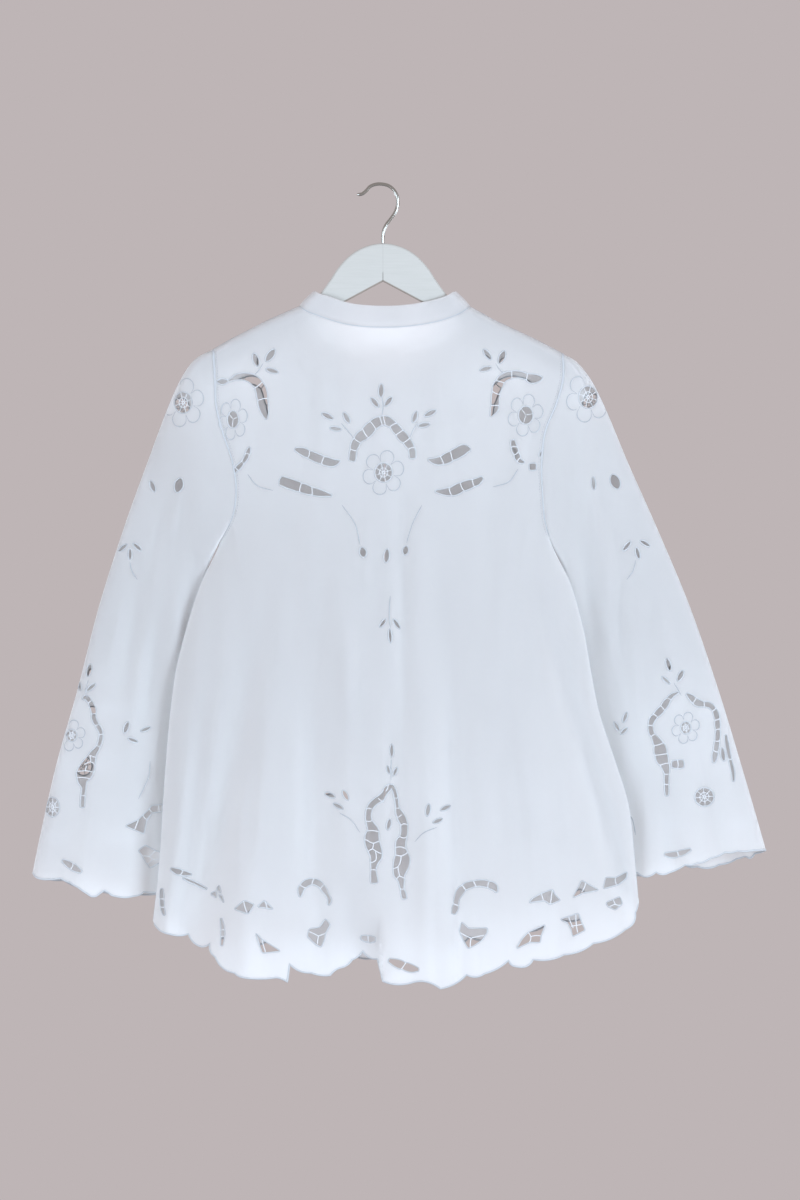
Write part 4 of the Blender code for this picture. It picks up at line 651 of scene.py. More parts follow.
# Shields, stars and triangles cut in the border: corners as x, z; bars as pairs of points
shields = {
    "back": (
        (((-62, -807), (-57, -813), (-62, -822), (-63.5, -830), (-67, -838), (-73, -835),
          (-82, -826), (-80, -818), (-68.5, -816.5)),
         ((-71, -835, -70, -826), (-70, -826, -80, -821), (-70, -826, -62.6, -823))),
        (((87.7, -810.6), (95.4, -817.4), (115.7, -816.9), (115, -822), (110, -829.5),
          (102.4, -835), (95, -839), (90, -831), (85, -820)),
         ((97, -838, 98, -828), (98, -828, 86, -822), (98, -828, 112, -825))),
        (((161.7, -789), (165, -784.6), (175, -779), (187.3, -774.5), (189.4, -780),
          (195.7, -786.3), (184.7, -790.6), (179, -786.4), (167.6, -787.4)),
         ((175, -779, 177, -786.5), (187, -775, 185, -790))),
        (((219.5, -765), (237.8, -775.5), (221, -778.4), (210, -783.4)),
         ((219.5, -777.6, 224, -767.6),)),
        (((246.2, -762), (257, -762.6), (270, -756), (268.7, -763), (260, -770), (243.4, -774)),
         ((257, -763, 258, -770),)),
        (((148, -839), (153.6, -829.5), (160.6, -821.8), (178.9, -813.4), (174.4, -825.3),
          (173.5, -832.3), (162, -832)),
         ((163.4, -826, 160.6, -821.8), (163.4, -826, 162, -832), (163.4, -826, 174, -825.3))),
        (((196, -807.3), (215.8, -801.1), (219, -811), (223, -819.4), (209.7, -826),
          (208, -818), (204, -811)),
         ((205, -805, 210, -817), (213, -802.4, 215, -822), (207.6, -815, 220.4, -813))),
        (((246.6, -789.5), (261.6, -783.5), (264.4, -790.9), (256.7, -797.5), (248.3, -793.7)),
         ((256.5, -791.6, 254, -786.6), (256.5, -791.6, 250, -794.4), (256.5, -791.6, 262.4, -792.6))),
        (((-179, -770), (-176.6, -778.8), (-181.5, -774.8)), ()),
        (((-188.6, -779.8), (-182.6, -776.6), (-181.9, -784.1)), ()),
        (((-179.6, -780.6), (-175.4, -781.6), (-173.6, -789.6)), ()),
        (((-162, -796), (-151, -786.6), (-140.6, -791), (-147, -801)), ((-152, -787, -148, -800),)),
        (((-136.6, -793), (-129.6, -786.8), (-119.6, -796)), ((-129, -787.6, -126.6, -794.6),)),
        (((-138.6, -822.8), (-131.9, -829.6), (-112, -842), (-131.2, -844)),
         ((-131.9, -830, -128, -843),)),
        (((162, -306.4), (169.4, -306), (169.6, -313), (162.4, -313.6)), ()),
    ),
    "leftBack": (
        (((-283, -705.6), (-269, -699), (-257, -687.6), (-254.3, -683.5), (-242.5, -682.4),
          (-242.8, -689.8), (-253.7, -691), (-260, -699), (-263, -714.3)),
         ((-257, -687.6, -253.7, -691), (-247, -683, -245.6, -690), (-269, -699, -273, -709.6),
          (-260, -699, -264, -694))),
        (((-268.9, -732.8), (-261.3, -727.4), (-250.4, -733.2), (-245, -735), (-245, -745.8),
          (-255.9, -751.9), (-260.2, -746.2), (-265.6, -737.1)),
         ((-257, -739.3, -250.4, -733.2), (-257, -739.3, -264.6, -739), (-257, -739.3, -253, -743),
          (-253, -743, -245.4, -742), (-253, -743, -259, -747.6))),
    ),
    "rightBack": (),
    "frontLeft": (
        (((-215, -790), (-198, -780), (-182, -792), (-198, -802)),
         ((-198, -781, -198, -801), (-213, -790, -184, -792))),
        (((-158, -808), (-141, -798), (-125, -810), (-141, -820)),
         ((-141, -799, -141, -819), (-156, -808, -127, -810))),
    ),
    "frontRight": (
        (((140, -806), (157, -796), (173, -808), (157, -818)),
         ((157, -797, 157, -817), (142, -806, 171, -808))),
        (((202, -786), (219, -776), (235, -788), (219, -798)),
         ((219, -777, 219, -797), (204, -786, 233, -788))),
    ),
    "leftFront": (
        (((-338, -720), (-322, -710), (-306, -722), (-322, -732)), ((-322, -711, -322, -731),)),
    ),
    "rightFront": (
        (((338, -706), (354, -696), (370, -708), (354, -718)), ((354, -697, 354, -717),)),
    ),
}

# Raised satin lines: half width, and the line as x, z
satinLines = {
    "back": (
        (0.7, ((0, -232), (1, -244), (0, -254))), (0.7, ((-45, -262), (-36, -272), (-30, -280))),
        (0.7, ((40, -260), (33, -272), (30, -280))), (0.7, ((-131, -196), (-136, -204), (-141, -209))),
        (0.7, ((125, -196), (130, -203), (135, -208))),
        (0.8, ((-44, -352), (-30, -372), (-24, -396))), (0.8, ((44, -352), (34, -372), (27, -394))),
        (0.7, ((9, -452), (8, -470), (9, -488))), (0.7, ((10, -630), (10, -640), (10, -655))),
        (0.8, ((-148, -318), (-138, -330), (-120, -336))),
        (0.8, ((150, -312), (140, -326), (122, -332))),
        (0.8, ((-47, -690), (-34, -698), (-24, -712))), (0.8, ((60, -706), (46, -712), (36, -722))),
    ),
    "leftBack": (
        (0.7, ((-256, -634), (-257, -649), (-263, -664), (-269, -676))),
        (0.7, ((-278, -414), (-276, -424), (-270, -434))),
        (0.7, ((-324, -545), (-327, -558), (-325, -566))),
    ),
    "rightBack": (
        (0.7, ((280, -412), (277, -424), (270, -434))), (0.7, ((322, -548), (326, -554), (330, -562))),
        (0.7, ((262, -668), (266, -684), (276, -698), (280, -716))),
    ),
    "frontLeft": (), "frontRight": (), "leftFront": (), "rightFront": (),
}


# steps in mm along the cut edges, how far a bar draws its band in, and how far a band's end rounds out
cutLook = {
    "leafPoints": 16, "leafPointed": 0.35, "leafStep": 1.2, "wheelPoints": 28, "ringPoints": 16,
    "bandStep": 1.3, "drawnIn": 0.6, "drawnInShare": 0.2, "drawnInReach": 1.7, "endRound": 0.25,
    "leastHalf": 0.35, "shieldStep": 1.4,
}


def leafLoop(x, z, length, width, tilt):
    angle = math.radians(tilt)
    loop = []
    for i in range(cutLook["leafPoints"]):
        turn = 2 * math.pi * i / cutLook["leafPoints"]
        up = math.cos(turn) * length / 2
        right = math.sin(turn) * abs(math.sin(turn)) ** cutLook["leafPointed"] * width / 2
        loop.append((x + right * math.cos(angle) + up * math.sin(angle),
                     z - right * math.sin(angle) + up * math.cos(angle)))
    return smoothLine(loop, cutLook["leafStep"], True)


def roundLoop(x, z, halfWidth, halfHeight, count):
    turn = np.arange(count) * 2 * math.pi / count
    return np.stack([x + halfWidth * np.cos(turn), z + halfHeight * np.sin(turn)], -1)


# A band's middle line with its across direction and half width, every step
def bandLine(route):
    line = smoothLine(route, cutLook["bandStep"])
    along = unit(np.gradient(line[:, :2], axis=0))
    across = np.stack([-along[:, 1], along[:, 0]], -1)
    return line[:, :2], across, np.maximum(line[:, 2], cutLook["leastHalf"]), along


def bandLoop(shares, route):
    line, across, half, along = bandLine(route)
    step = cutLook["bandStep"]
    place = np.arange(len(line)) * step
    for share in shares:
        off = place - round(share * (len(line) - 1)) * step
        drawn = np.minimum(cutLook["drawnIn"], half * cutLook["drawnInShare"])
        half = half - drawn * np.exp(-(off / cutLook["drawnInReach"]) ** 2)
    left = line + across * half[:, None]
    right = line - across * half[:, None]
    first = line[:1] - along[:1] * half[0] * cutLook["endRound"]
    last = line[-1:] + along[-1:] * half[-1] * cutLook["endRound"]
    return np.concatenate([first, left, last, right[::-1]])


def shieldLoop(corners):
    points = []
    corners = np.array(corners, float)
    for start, end in zip(corners, np.roll(corners, -1, axis=0)):
        count = max(2, int(np.linalg.norm(end - start) / cutLook["shieldStep"]))
        for i in range(count):
            points.append(start + (end - start) * i / count)
    points = np.array(points)
    return (np.roll(points, 1, axis=0) + points * 2 + np.roll(points, -1, axis=0)) / 4


# Which points lie inside a closed loop
def inside(points, loop):
    result = np.zeros(len(points), bool)
    low, high = loop.min(axis=0), loop.max(axis=0)
    near = np.flatnonzero(((points >= low) & (points <= high)).all(axis=1))
    x, y = points[near, 0], points[near, 1]
    hit = np.zeros(len(near), bool)
    for (x1, y1), (x2, y2) in zip(loop, np.roll(loop, -1, axis=0)):
        if y1 != y2:
            hit ^= ((y1 > y) != (y2 > y)) & (x < (x2 - x1) * (y - y1) / (y2 - y1) + x1)
    result[near] = hit
    return result


def clearOf(points, loop, distance):
    low, high = loop.min(axis=0) - distance, loop.max(axis=0) + distance
    near = np.flatnonzero(((points >= low) & (points <= high)).all(axis=1))
    some = points[near]
    closest = np.full(len(near), 1e9)
    for start, end in zip(loop, np.roll(loop, -1, axis=0)):
        along = end - start
        t = np.clip((some - start) @ along / max(along @ along, 1e-12), 0, 1)
        closest = np.minimum(closest, np.linalg.norm(some - start - t[:, None] * along, axis=1))
    result = np.ones(len(points), bool)
    result[near] = closest > distance
    return result


def linearColour(text):
    channels = [int(text[i:i + 2], 16) / 255 for i in (1, 3, 5)]
    return (*[c / 12.92 if c <= 0.04045 else ((c + 0.055) / 1.055) ** 2.4 for c in channels], 1.0)


# Adds a node, sets its settings and sockets, and links its sockets to others
def addNode(tree, kind, settings=None, links=None):
    node = tree.nodes.new(kind)
    for name, value in (settings or {}).items():
        if isinstance(name, int) or name in node.inputs:
            node.inputs[name].default_value = value
        else:
            setattr(node, name, value)
    for name, source in (links or {}).items():
        tree.links.new(source, node.inputs[name])
    return node


def startMaterial(name, colour, roughness, metallic=0.0):
    material = bpy.data.materials.new(name)
    material.use_nodes = True
    shader = material.node_tree.nodes["Principled BSDF"]
    shader.inputs["Base Color"].default_value = linearColour(colour)
    shader.inputs["Roughness"].default_value = roughness
    shader.inputs["Metallic"].default_value = metallic
    return material, material.node_tree, shader


# Bleached cotton table linen, washed and starched: matt, faintly uneven, with a plain weave
def bleachedLinen(name, lightReach, darkest, lightest):
    # mm across and high; real threads are 0.4 mm apart, too fine to show
    look = {"thread": 1.0, "threadHeight": 0.12, "crumple": 14, "crumpleHeight": 1.1,
            "softCrease": 48, "softHeight": 4.0, "stretchDown": 0.4}
    material, tree, shader = startMaterial(name, lightest, 0.88)
    place = addNode(tree, "ShaderNodeTexCoord")
    cloth = addNode(tree, "ShaderNodeUVMap", {"uv_map": "clothUv"})
    split = addNode(tree, "ShaderNodeSeparateXYZ", None, {0: cloth.outputs["UV"]})
    waves = []
    turns = 2 * math.pi / (look["thread"] * mm)
    for axis in ("X", "Y"):
        scaled = addNode(tree, "ShaderNodeMath", {"operation": "MULTIPLY", 1: turns},
                         {0: split.outputs[axis]})
        waves.append(addNode(tree, "ShaderNodeMath", {"operation": "SINE"}, {0: scaled.outputs[0]}))
    weave = addNode(tree, "ShaderNodeMath", {"operation": "MULTIPLY"},
                    {0: waves[0].outputs[0], 1: waves[1].outputs[0]})
    weaveBump = addNode(tree, "ShaderNodeBump", {"Strength": 0.22, "Distance": look["threadHeight"] * mm},
                        {"Height": weave.outputs[0]})
    stretch = addNode(tree, "ShaderNodeMapping", {"Scale": (1.0, 1.0, look["stretchDown"])},
                      {"Vector": place.outputs["Object"]})
    crumple = addNode(tree, "ShaderNodeTexNoise", {"Scale": 1000 / look["crumple"], "Detail": 3.0},
                      {"Vector": stretch.outputs[0]})
    crumpleBump = addNode(tree, "ShaderNodeBump", {"Strength": 0.16, "Distance": look["crumpleHeight"] * mm},
                          {"Height": crumple.outputs[0], "Normal": weaveBump.outputs[0]})
    soft = addNode(tree, "ShaderNodeTexNoise", {"Scale": 1000 / look["softCrease"], "Detail": 1.0},
                   {"Vector": stretch.outputs[0]})
    softBump = addNode(tree, "ShaderNodeBump", {"Strength": 0.2, "Distance": look["softHeight"] * mm},
                       {"Height": soft.outputs[0], "Normal": crumpleBump.outputs[0]})
    shade = addNode(tree, "ShaderNodeMix", {"data_type": "RGBA", 6: linearColour(darkest),
                                            7: linearColour(lightest)}, {0: soft.outputs[0]})
    tree.links.new(shade.outputs[2], shader.inputs["Base Color"])
    tree.links.new(softBump.outputs[0], shader.inputs["Normal"])
    shader.inputs["Sheen Weight"].default_value = 0.12     # a fuzz of cut fibres
    shader.inputs["Subsurface Weight"].default_value = 1.0
    shader.inputs["Subsurface Radius"].default_value = (1.0, 1.0, 1.0)
    shader.inputs["Subsurface Scale"].default_value = lightReach * mm     # thin cloth lets light through
    return material


# Mercerised cotton thread, packed side by side: silky, ribbed across its run at each pitch in mm
def buttonholeThread(name, colour, pitch, depth):
    material, tree, shader = startMaterial(name, colour, 0.6)
    along = addNode(tree, "ShaderNodeAttribute", {"attribute_name": "along"})
    scaled = addNode(tree, "ShaderNodeMath", {"operation": "MULTIPLY", 1: 2 * math.pi / (pitch * mm)},
                     {0: along.outputs["Fac"]})
    wave = addNode(tree, "ShaderNodeMath", {"operation": "SINE"}, {0: scaled.outputs[0]})
    bump = addNode(tree, "ShaderNodeBump", {"Strength": 0.5, "Distance": depth * mm},
                   {"Height": wave.outputs[0]})
    tree.links.new(bump.outputs[0], shader.inputs["Normal"])
    shader.inputs["Sheen Weight"].default_value = 0.2
    return material


# Beech under several coats of white lacquer: smooth, with a trace of grain in long lines
def lacqueredBeech():
    # mm: between pores and how high they are; middle and half width of the glued joint, and the z
    # at which it starts to open and is open; stretch is how much longer than wide a pore is
    look = {"grain": 1.6, "grainHeight": 0.2, "stretch": 22, "joint": 1.0, "jointHalf": 0.4,
            "jointCloses": -94, "jointOpen": -97}
    material, tree, shader = startMaterial("lacquered beech", "#CCCEC9", 0.34)
    place = addNode(tree, "ShaderNodeTexCoord")
    stretch = addNode(tree, "ShaderNodeMapping", {"Scale": (1.0 / look["stretch"], 1.0, 1.0)},
                      {"Vector": place.outputs["Object"]})
    grain = addNode(tree, "ShaderNodeTexNoise", {"Scale": 1000 / look["grain"], "Detail": 4.0},
                    {"Vector": stretch.outputs[0]})
    bump = addNode(tree, "ShaderNodeBump", {"Strength": 0.2, "Distance": look["grainHeight"] * mm},
                   {"Height": grain.outputs[0]})
    shade = addNode(tree, "ShaderNodeMix", {"data_type": "RGBA", 6: linearColour("#C6C8C3"),
                                            7: linearColour("#D2D3CF")}, {0: grain.outputs[0]})
    # painted shade: faces that look down are painted a darker beige, standing in for the shade under the
    # hanger
    paintedUnderShade = addNode(tree, "ShaderNodeAttribute", {"attribute_name": "paintedUnderShade"})     # thin lacquer below
    underShadeMix = addNode(tree, "ShaderNodeMix", {"data_type": "RGBA", 7: linearColour("#A59B91")},
                   {0: paintedUnderShade.outputs["Fac"], 6: shade.outputs[2]})
    # the two halves are glued at the middle; the joint is open at its foot
    split = addNode(tree, "ShaderNodeSeparateXYZ", {}, {0: place.outputs["Object"]})
    joint = addNode(tree, "ShaderNodeMath", {"operation": "COMPARE", 1: look["joint"] * mm,
                                             2: look["jointHalf"] * mm}, {0: split.outputs[0]})
    depth = addNode(tree, "ShaderNodeMapRange",
                    {"From Min": look["jointCloses"] * mm, "From Max": look["jointOpen"] * mm,
                     "To Min": 0.14, "To Max": 0.85}, {"Value": split.outputs[2]})
    shown = addNode(tree, "ShaderNodeMath", {"operation": "MULTIPLY"},
                    {0: joint.outputs[0], 1: depth.outputs[0]})
    jointed = addNode(tree, "ShaderNodeMix", {"data_type": "RGBA", 7: linearColour("#6F6B66")},
                      {0: shown.outputs[0], 6: underShadeMix.outputs[2]})
    tree.links.new(jointed.outputs[2], shader.inputs["Base Color"])
    tree.links.new(bump.outputs[0], shader.inputs["Normal"])
    shader.inputs["Coat Weight"].default_value = 0.3
    shader.inputs["Coat Roughness"].default_value = 0.18
    return material


# Chrome plate on drawn steel wire: mirror bright, faintly streaked along the wire
def chromePlate():
    look = {"streak": 0.9}     # mm
    material, tree, shader = startMaterial("chrome plate", "#B2B2AC", 0.18, 1.0)
    place = addNode(tree, "ShaderNodeTexCoord")
    streak = addNode(tree, "ShaderNodeTexNoise", {"Scale": 1000 / look["streak"], "Detail": 2.0},
                     {"Vector": place.outputs["Object"]})
    rough = addNode(tree, "ShaderNodeMapRange", {"To Min": 0.14, "To Max": 0.26},
                    {"Value": streak.outputs[0]})
    tree.links.new(rough.outputs[0], shader.inputs["Roughness"])
    return material


# Painted studio floor: flat and pale
def paintedFloor():
    material, tree, shader = startMaterial("matt floor paint", "#B4AFAF", 0.9)
    place = addNode(tree, "ShaderNodeTexCoord")
    cloud = addNode(tree, "ShaderNodeTexNoise", {"Scale": 3.0}, {"Vector": place.outputs["Object"]})
    shade = addNode(tree, "ShaderNodeMix", {"data_type": "RGBA", 6: linearColour("#B1ACAC"),
                                            7: linearColour("#B8B3B3")}, {0: cloud.outputs[0]})
    tree.links.new(shade.outputs[2], shader.inputs["Base Color"])
    return material


print("choosing the materials")
linen = bleachedLinen("bleached cotton linen", 5.0, "#F1F5F5", "#FCFDFD")
# painted shade: the collar is the same white linen, painted darker so that it glows less where light reaches
# both its faces
collarShadedLinen = bleachedLinen("doubled cotton linen, painted darker", 4.5, "#CFCFCF", "#D9D8D8")   # for the collar's two layers
edgeThread = buttonholeThread("mercerised edging thread", "#D5DADE", 0.9, 0.22)
barThread = buttonholeThread("mercerised bar thread", "#EEF2F5", 0.8, 0.12)
satinThread = buttonholeThread("satin stitch thread", "#C9CED3", 0.7, 0.08)
beech = lacqueredBeech()
chrome = chromePlate()
floorPaint = paintedFloor()


def addPiece(name, mesh):
    thing = bpy.data.objects.new(name, mesh)
    bpy.context.scene.collection.objects.link(thing)
    return thing


# shares of the spacing: height of a row of points, least distance to the outline and to a hole
fillLook = {"row": 0.87, "toOutline": 0.45, "toHole": 0.4}


# Flat triangles between an outline and its holes, as pattern points and faces
def triangulate(cloth, outline, holes, spacing):
    scale = cloth.scale
    flatOutline = outline * scale
    flatHoles = [hole * scale for hole in holes]
    low, high = flatOutline.min(axis=0), flatOutline.max(axis=0)
    rows = np.arange(low[1], high[1], spacing * fillLook["row"])
    filling = []
    for i, row in enumerate(rows):
        across = np.arange(low[0] + (i % 2) * spacing / 2, high[0], spacing)
        filling.append(np.stack([across, np.full(len(across), row)], -1))
    filling = np.concatenate(filling)
    keep = inside(filling, flatOutline) & clearOf(filling, flatOutline, spacing * fillLook["toOutline"])
    for hole in flatHoles:
        keep &= ~inside(filling, hole) & clearOf(filling, hole, spacing * fillLook["toHole"])
    loops = [flatOutline] + flatHoles
    edges = []
    for loop in loops:
        first = len(edges)
        edges += [(first + i, first + (i + 1) % len(loop)) for i in range(len(loop))]
    points = [Vector(point) for point in np.concatenate(loops + [filling[keep]])]
    result = delaunay_2d_cdt(points, edges, [], 0, 1e-6)
    flat = np.array([tuple(point) for point in result[0]])
    faces = np.array(result[2])
    corners = flat[faces]
    middles = corners.mean(axis=1)
    good = inside(middles, flatOutline)
    for hole in flatHoles:
        good &= ~inside(middles, hole)
    sides = corners[:, 1:] - corners[:, :1]
    size = np.abs(sides[:, 0, 0] * sides[:, 1, 1] - sides[:, 0, 1] * sides[:, 1, 0])
    good &= size > 1e-5
    return flat / scale, faces[good]


def addUvs(mesh, uvs):
    corner = np.zeros(len(mesh.loops), int)
    mesh.loops.foreach_get("vertex_index", corner)
    mesh.uv_layers.new(name="clothUv").uv.foreach_set("vector", uvs[corner].ravel().astype(np.float32))


def turnOutwards(mesh):
    mesh.calc_loop_triangles()
    corners = [[mesh.vertices[i].co for i in triangle.vertices] for triangle in mesh.loop_triangles]
    if sum(a.dot(b.cross(c)) for a, b, c in corners) < 0:
        mesh.flip_normals()


# Closed wall on pattern points, half its thickness to each side of the cloth's middle
def clothShell(name, cloth, outline, holes, spacing):
    at, faces = triangulate(cloth, outline, holes, spacing)
    used, faces = np.unique(faces, return_inverse=True)
    faces = faces.reshape(-1, 3)
    at = at[used]
    middle = cloth.place(at[:, 0], at[:, 1])
    offset = clothNormals(cloth, at) * jacketForm["wall"] / 2
    corners = middle[faces]
    ahead = np.cross(corners[:, 1] - corners[:, 0], corners[:, 2] - corners[:, 0])
    if (ahead * offset[faces[:, 0]]).sum() < 0:
        faces = faces[:, ::-1]
    count = len(middle)
    edges = np.concatenate([faces[:, [0, 1]], faces[:, [1, 2]], faces[:, [2, 0]]])
    keys = edges[:, 0] * count + edges[:, 1]
    back = edges[:, 1] * count + edges[:, 0]
    rim = edges[~np.isin(keys, back)]
    rimFaces = np.stack([rim[:, 1], rim[:, 0], rim[:, 0] + count, rim[:, 1] + count], -1)
    polygons = faces.tolist() + (faces[:, ::-1] + count).tolist() + rimFaces.tolist()
    mesh = bpy.data.meshes.new(name)
    mesh.from_pydata((np.concatenate([middle + offset, middle - offset]) * mm).tolist(), [], polygons)
    mesh.shade_smooth()
    mesh.set_sharp_from_angle(angle=math.radians(48))
    addUvs(mesh, np.concatenate([at, at]) * cloth.scale * mm)
    mesh.materials.append(linen)
    return addPiece(name, mesh)


# Starts a tree with named inputs and turns a mesh's routes into curves that face outwards
def startTree(name, inputs):
    tree = bpy.data.node_groups.new(name, "GeometryNodeTree")
    for label, kind in (("Geometry", "Geometry"), *inputs, ("Material", "Material")):
        tree.interface.new_socket(label, in_out="INPUT", socket_type="NodeSocket" + kind)
    tree.interface.new_socket("Geometry", in_out="OUTPUT", socket_type="NodeSocketGeometry")
    start = addNode(tree, "NodeGroupInput")
    outward = addNode(tree, "GeometryNodeInputNamedAttribute",
                      {"data_type": "FLOAT_VECTOR", "Name": "outward"})
    route = addNode(tree, "GeometryNodeMeshToCurve", None, {"Mesh": start.outputs["Geometry"]})
    turned = addNode(tree, "GeometryNodeSetCurveNormal", {"mode": "FREE"},
                     {"Curve": route.outputs[0], "Normal": outward.outputs[0]})
    return tree, start, turned


# Ends a tree: instances made real, shaded smooth, with the material that the input names
def endTree(tree, start, shape):
    real = addNode(tree, "GeometryNodeRealizeInstances", None, {"Geometry": shape.outputs[0]})
    smooth = addNode(tree, "GeometryNodeSetShadeSmooth", None, {"Geometry": real.outputs[0]})
    finish = addNode(tree, "GeometryNodeSetMaterial", None,
                     {"Geometry": smooth.outputs[0], "Material": start.outputs["Material"]})
    addNode(tree, "NodeGroupOutput", None, {0: finish.outputs[0]})
    return tree


# Tree that sweeps an oval along every route of a mesh, flat side to the cloth
def sweepTree():
    tree, start, turned = startTree("laid thread", (("Half width", "Float"), ("Half height", "Float"),
                                                    ("Sides", "Int")))
    thick = addNode(tree, "GeometryNodeInputNamedAttribute", {"data_type": "FLOAT", "Name": "thick"})
    share = addNode(tree, "GeometryNodeSplineParameter")
    kept = addNode(tree, "GeometryNodeStoreNamedAttribute", {"data_type": "FLOAT", "Name": "along"},
                   {"Geometry": turned.outputs[0], "Value": share.outputs["Length"]})
    circle = addNode(tree, "GeometryNodeCurvePrimitiveCircle", {"Radius": 1.0},
                     {"Resolution": start.outputs["Sides"]})
    size = addNode(tree, "ShaderNodeCombineXYZ", {"Z": 1.0},
                   {"X": start.outputs["Half height"], "Y": start.outputs["Half width"]})
    oval = addNode(tree, "GeometryNodeTransform", None,
                   {"Geometry": circle.outputs[0], "Scale": size.outputs[0]})
    tube = addNode(tree, "GeometryNodeCurveToMesh", {"Fill Caps": True},
                   {"Curve": kept.outputs[0], "Profile Curve": oval.outputs[0], "Scale": thick.outputs[0]})
    return endTree(tree, start, tube)


# Tree that lays a stitch at every pitch along the routes
def stitchTree():
    tree, start, turned = startTree("sewn stitches", (("Pitch", "Float"), ("Length", "Float"),
                                                      ("Width", "Float"), ("Height", "Float"),
                                                      ("Seed", "Int")))
    spots = addNode(tree, "GeometryNodeCurveToPoints", {"mode": "LENGTH"},
                    {"Curve": turned.outputs[0], "Length": start.outputs["Pitch"]})
    facing = addNode(tree, "FunctionNodeAxesToRotation", {"primary_axis": "Z", "secondary_axis": "X"},
                     {"Primary Axis": spots.outputs["Normal"], "Secondary Axis": spots.outputs["Tangent"]})
    size = addNode(tree, "ShaderNodeCombineXYZ", None,
                   {"X": start.outputs["Length"], "Y": start.outputs["Width"], "Z": start.outputs["Height"]})
    bead = addNode(tree, "GeometryNodeMeshUVSphere", {"Segments": 6, "Rings": 4, "Radius": 0.5})
    shaped = addNode(tree, "GeometryNodeTransform", None,
                     {"Geometry": bead.outputs[0], "Scale": size.outputs[0]})
    vary = addNode(tree, "FunctionNodeRandomValue", {"data_type": "FLOAT", 2: 0.9, 3: 1.08},
                   {"Seed": start.outputs["Seed"]})
    laid = addNode(tree, "GeometryNodeInstanceOnPoints", None,
                   {"Points": spots.outputs["Points"], "Instance": shaped.outputs[0],
                    "Rotation": facing.outputs[0], "Scale": vary.outputs[1]})
    return endTree(tree, start, laid)


laidThread = sweepTree()
sewnStitches = stitchTree()


# Routes are (points, outward directions, thickness, closed) in millimetres
def routeMesh(name, routes):
    points, outward, thick, edges = [], [], [], []
    for line, facing, width, closed in routes:
        first = sum(len(part) for part in points)
        points.append(line)
        outward.append(facing)
        thick.append(np.broadcast_to(width, len(line)))
        edges += [(first + i, first + i + 1) for i in range(len(line) - 1)]
        if closed:
            edges.append((first + len(line) - 1, first))
    mesh = bpy.data.meshes.new(name)
    mesh.from_pydata((np.concatenate(points) * mm).tolist(), edges, [])
    layer = mesh.attributes.new("outward", "FLOAT_VECTOR", "POINT")
    layer.data.foreach_set("vector", np.concatenate(outward).ravel().astype(np.float32))
    layer = mesh.attributes.new("thick", "FLOAT", "POINT")
    layer.data.foreach_set("value", np.concatenate(thick).astype(np.float32))
    return mesh


def runTree(name, routes, tree, values):
    thing = addPiece(name, routeMesh(name, routes))
    modifier = thing.modifiers.new(tree.name, "NODES")
    modifier.node_group = tree
    for socket in tree.interface.items_tree:
        if socket.in_out == "INPUT" and socket.name in values:
            modifier[socket.identifier] = values[socket.name]
    depsgraph = bpy.context.evaluated_depsgraph_get()
    mesh = bpy.data.meshes.new_from_object(thing.evaluated_get(depsgraph),
                                           preserve_all_data_layers=True, depsgraph=depsgraph)
    thing.modifiers.clear()
    thing.data = mesh
    return thing


panelLook = {
    "spacing": 3.4,        # mm between the cloth's points
    "sleeveSpacing": 3.2,
    "edgingHalfWidth": 0.85,
    "edgingHalfHeight": 0.62,
    "hemHalfWidth": 1.1,
    "barHalf": 0.6,
    "satinHalfWidth": 0.65,
    "satinHalfHeight": 0.12,
    "edgeOut": 0.55,       # from a gap's edge to the middle of its edging
    "barOver": 0.5,        # how far a bar runs past the gap's edge
    "spokeWidth": 0.72,    # shares of a bar's width
    "ringWidth": 0.75,
    "spokeReach": (0.08, 1.06),     # shares of the wheel's half width
    "rings": (0.14, 0.5),
    "petals": 6,
    "petalGap": 2.4,       # mm between wheel and flower
    "petalTurn": 0.25,     # shares of a petal's turn and of the wheel's size
    "petalLength": 0.95,
}


def openings(name):
    loops = [leafLoop(*row) for row in leaves[name]]
    loops += [roundLoop(*row[:4], cutLook["wheelPoints"]) for row in wheels[name]]
    loops += [bandLoop(*row) for row in bands[name]]
    loops += [shieldLoop(row[0]) for row in shields[name]]
    return loops


def widen(loop, distance):
    along = unit(np.roll(loop, -1, axis=0) - np.roll(loop, 1, axis=0))
    across = np.stack([along[:, 1], -along[:, 0]], -1)
    area = (loop[:, 0] * np.roll(loop[:, 1], -1) - loop[:, 1] * np.roll(loop[:, 0], -1)).sum()
    return loop + across * distance * (1 if area > 0 else -1)


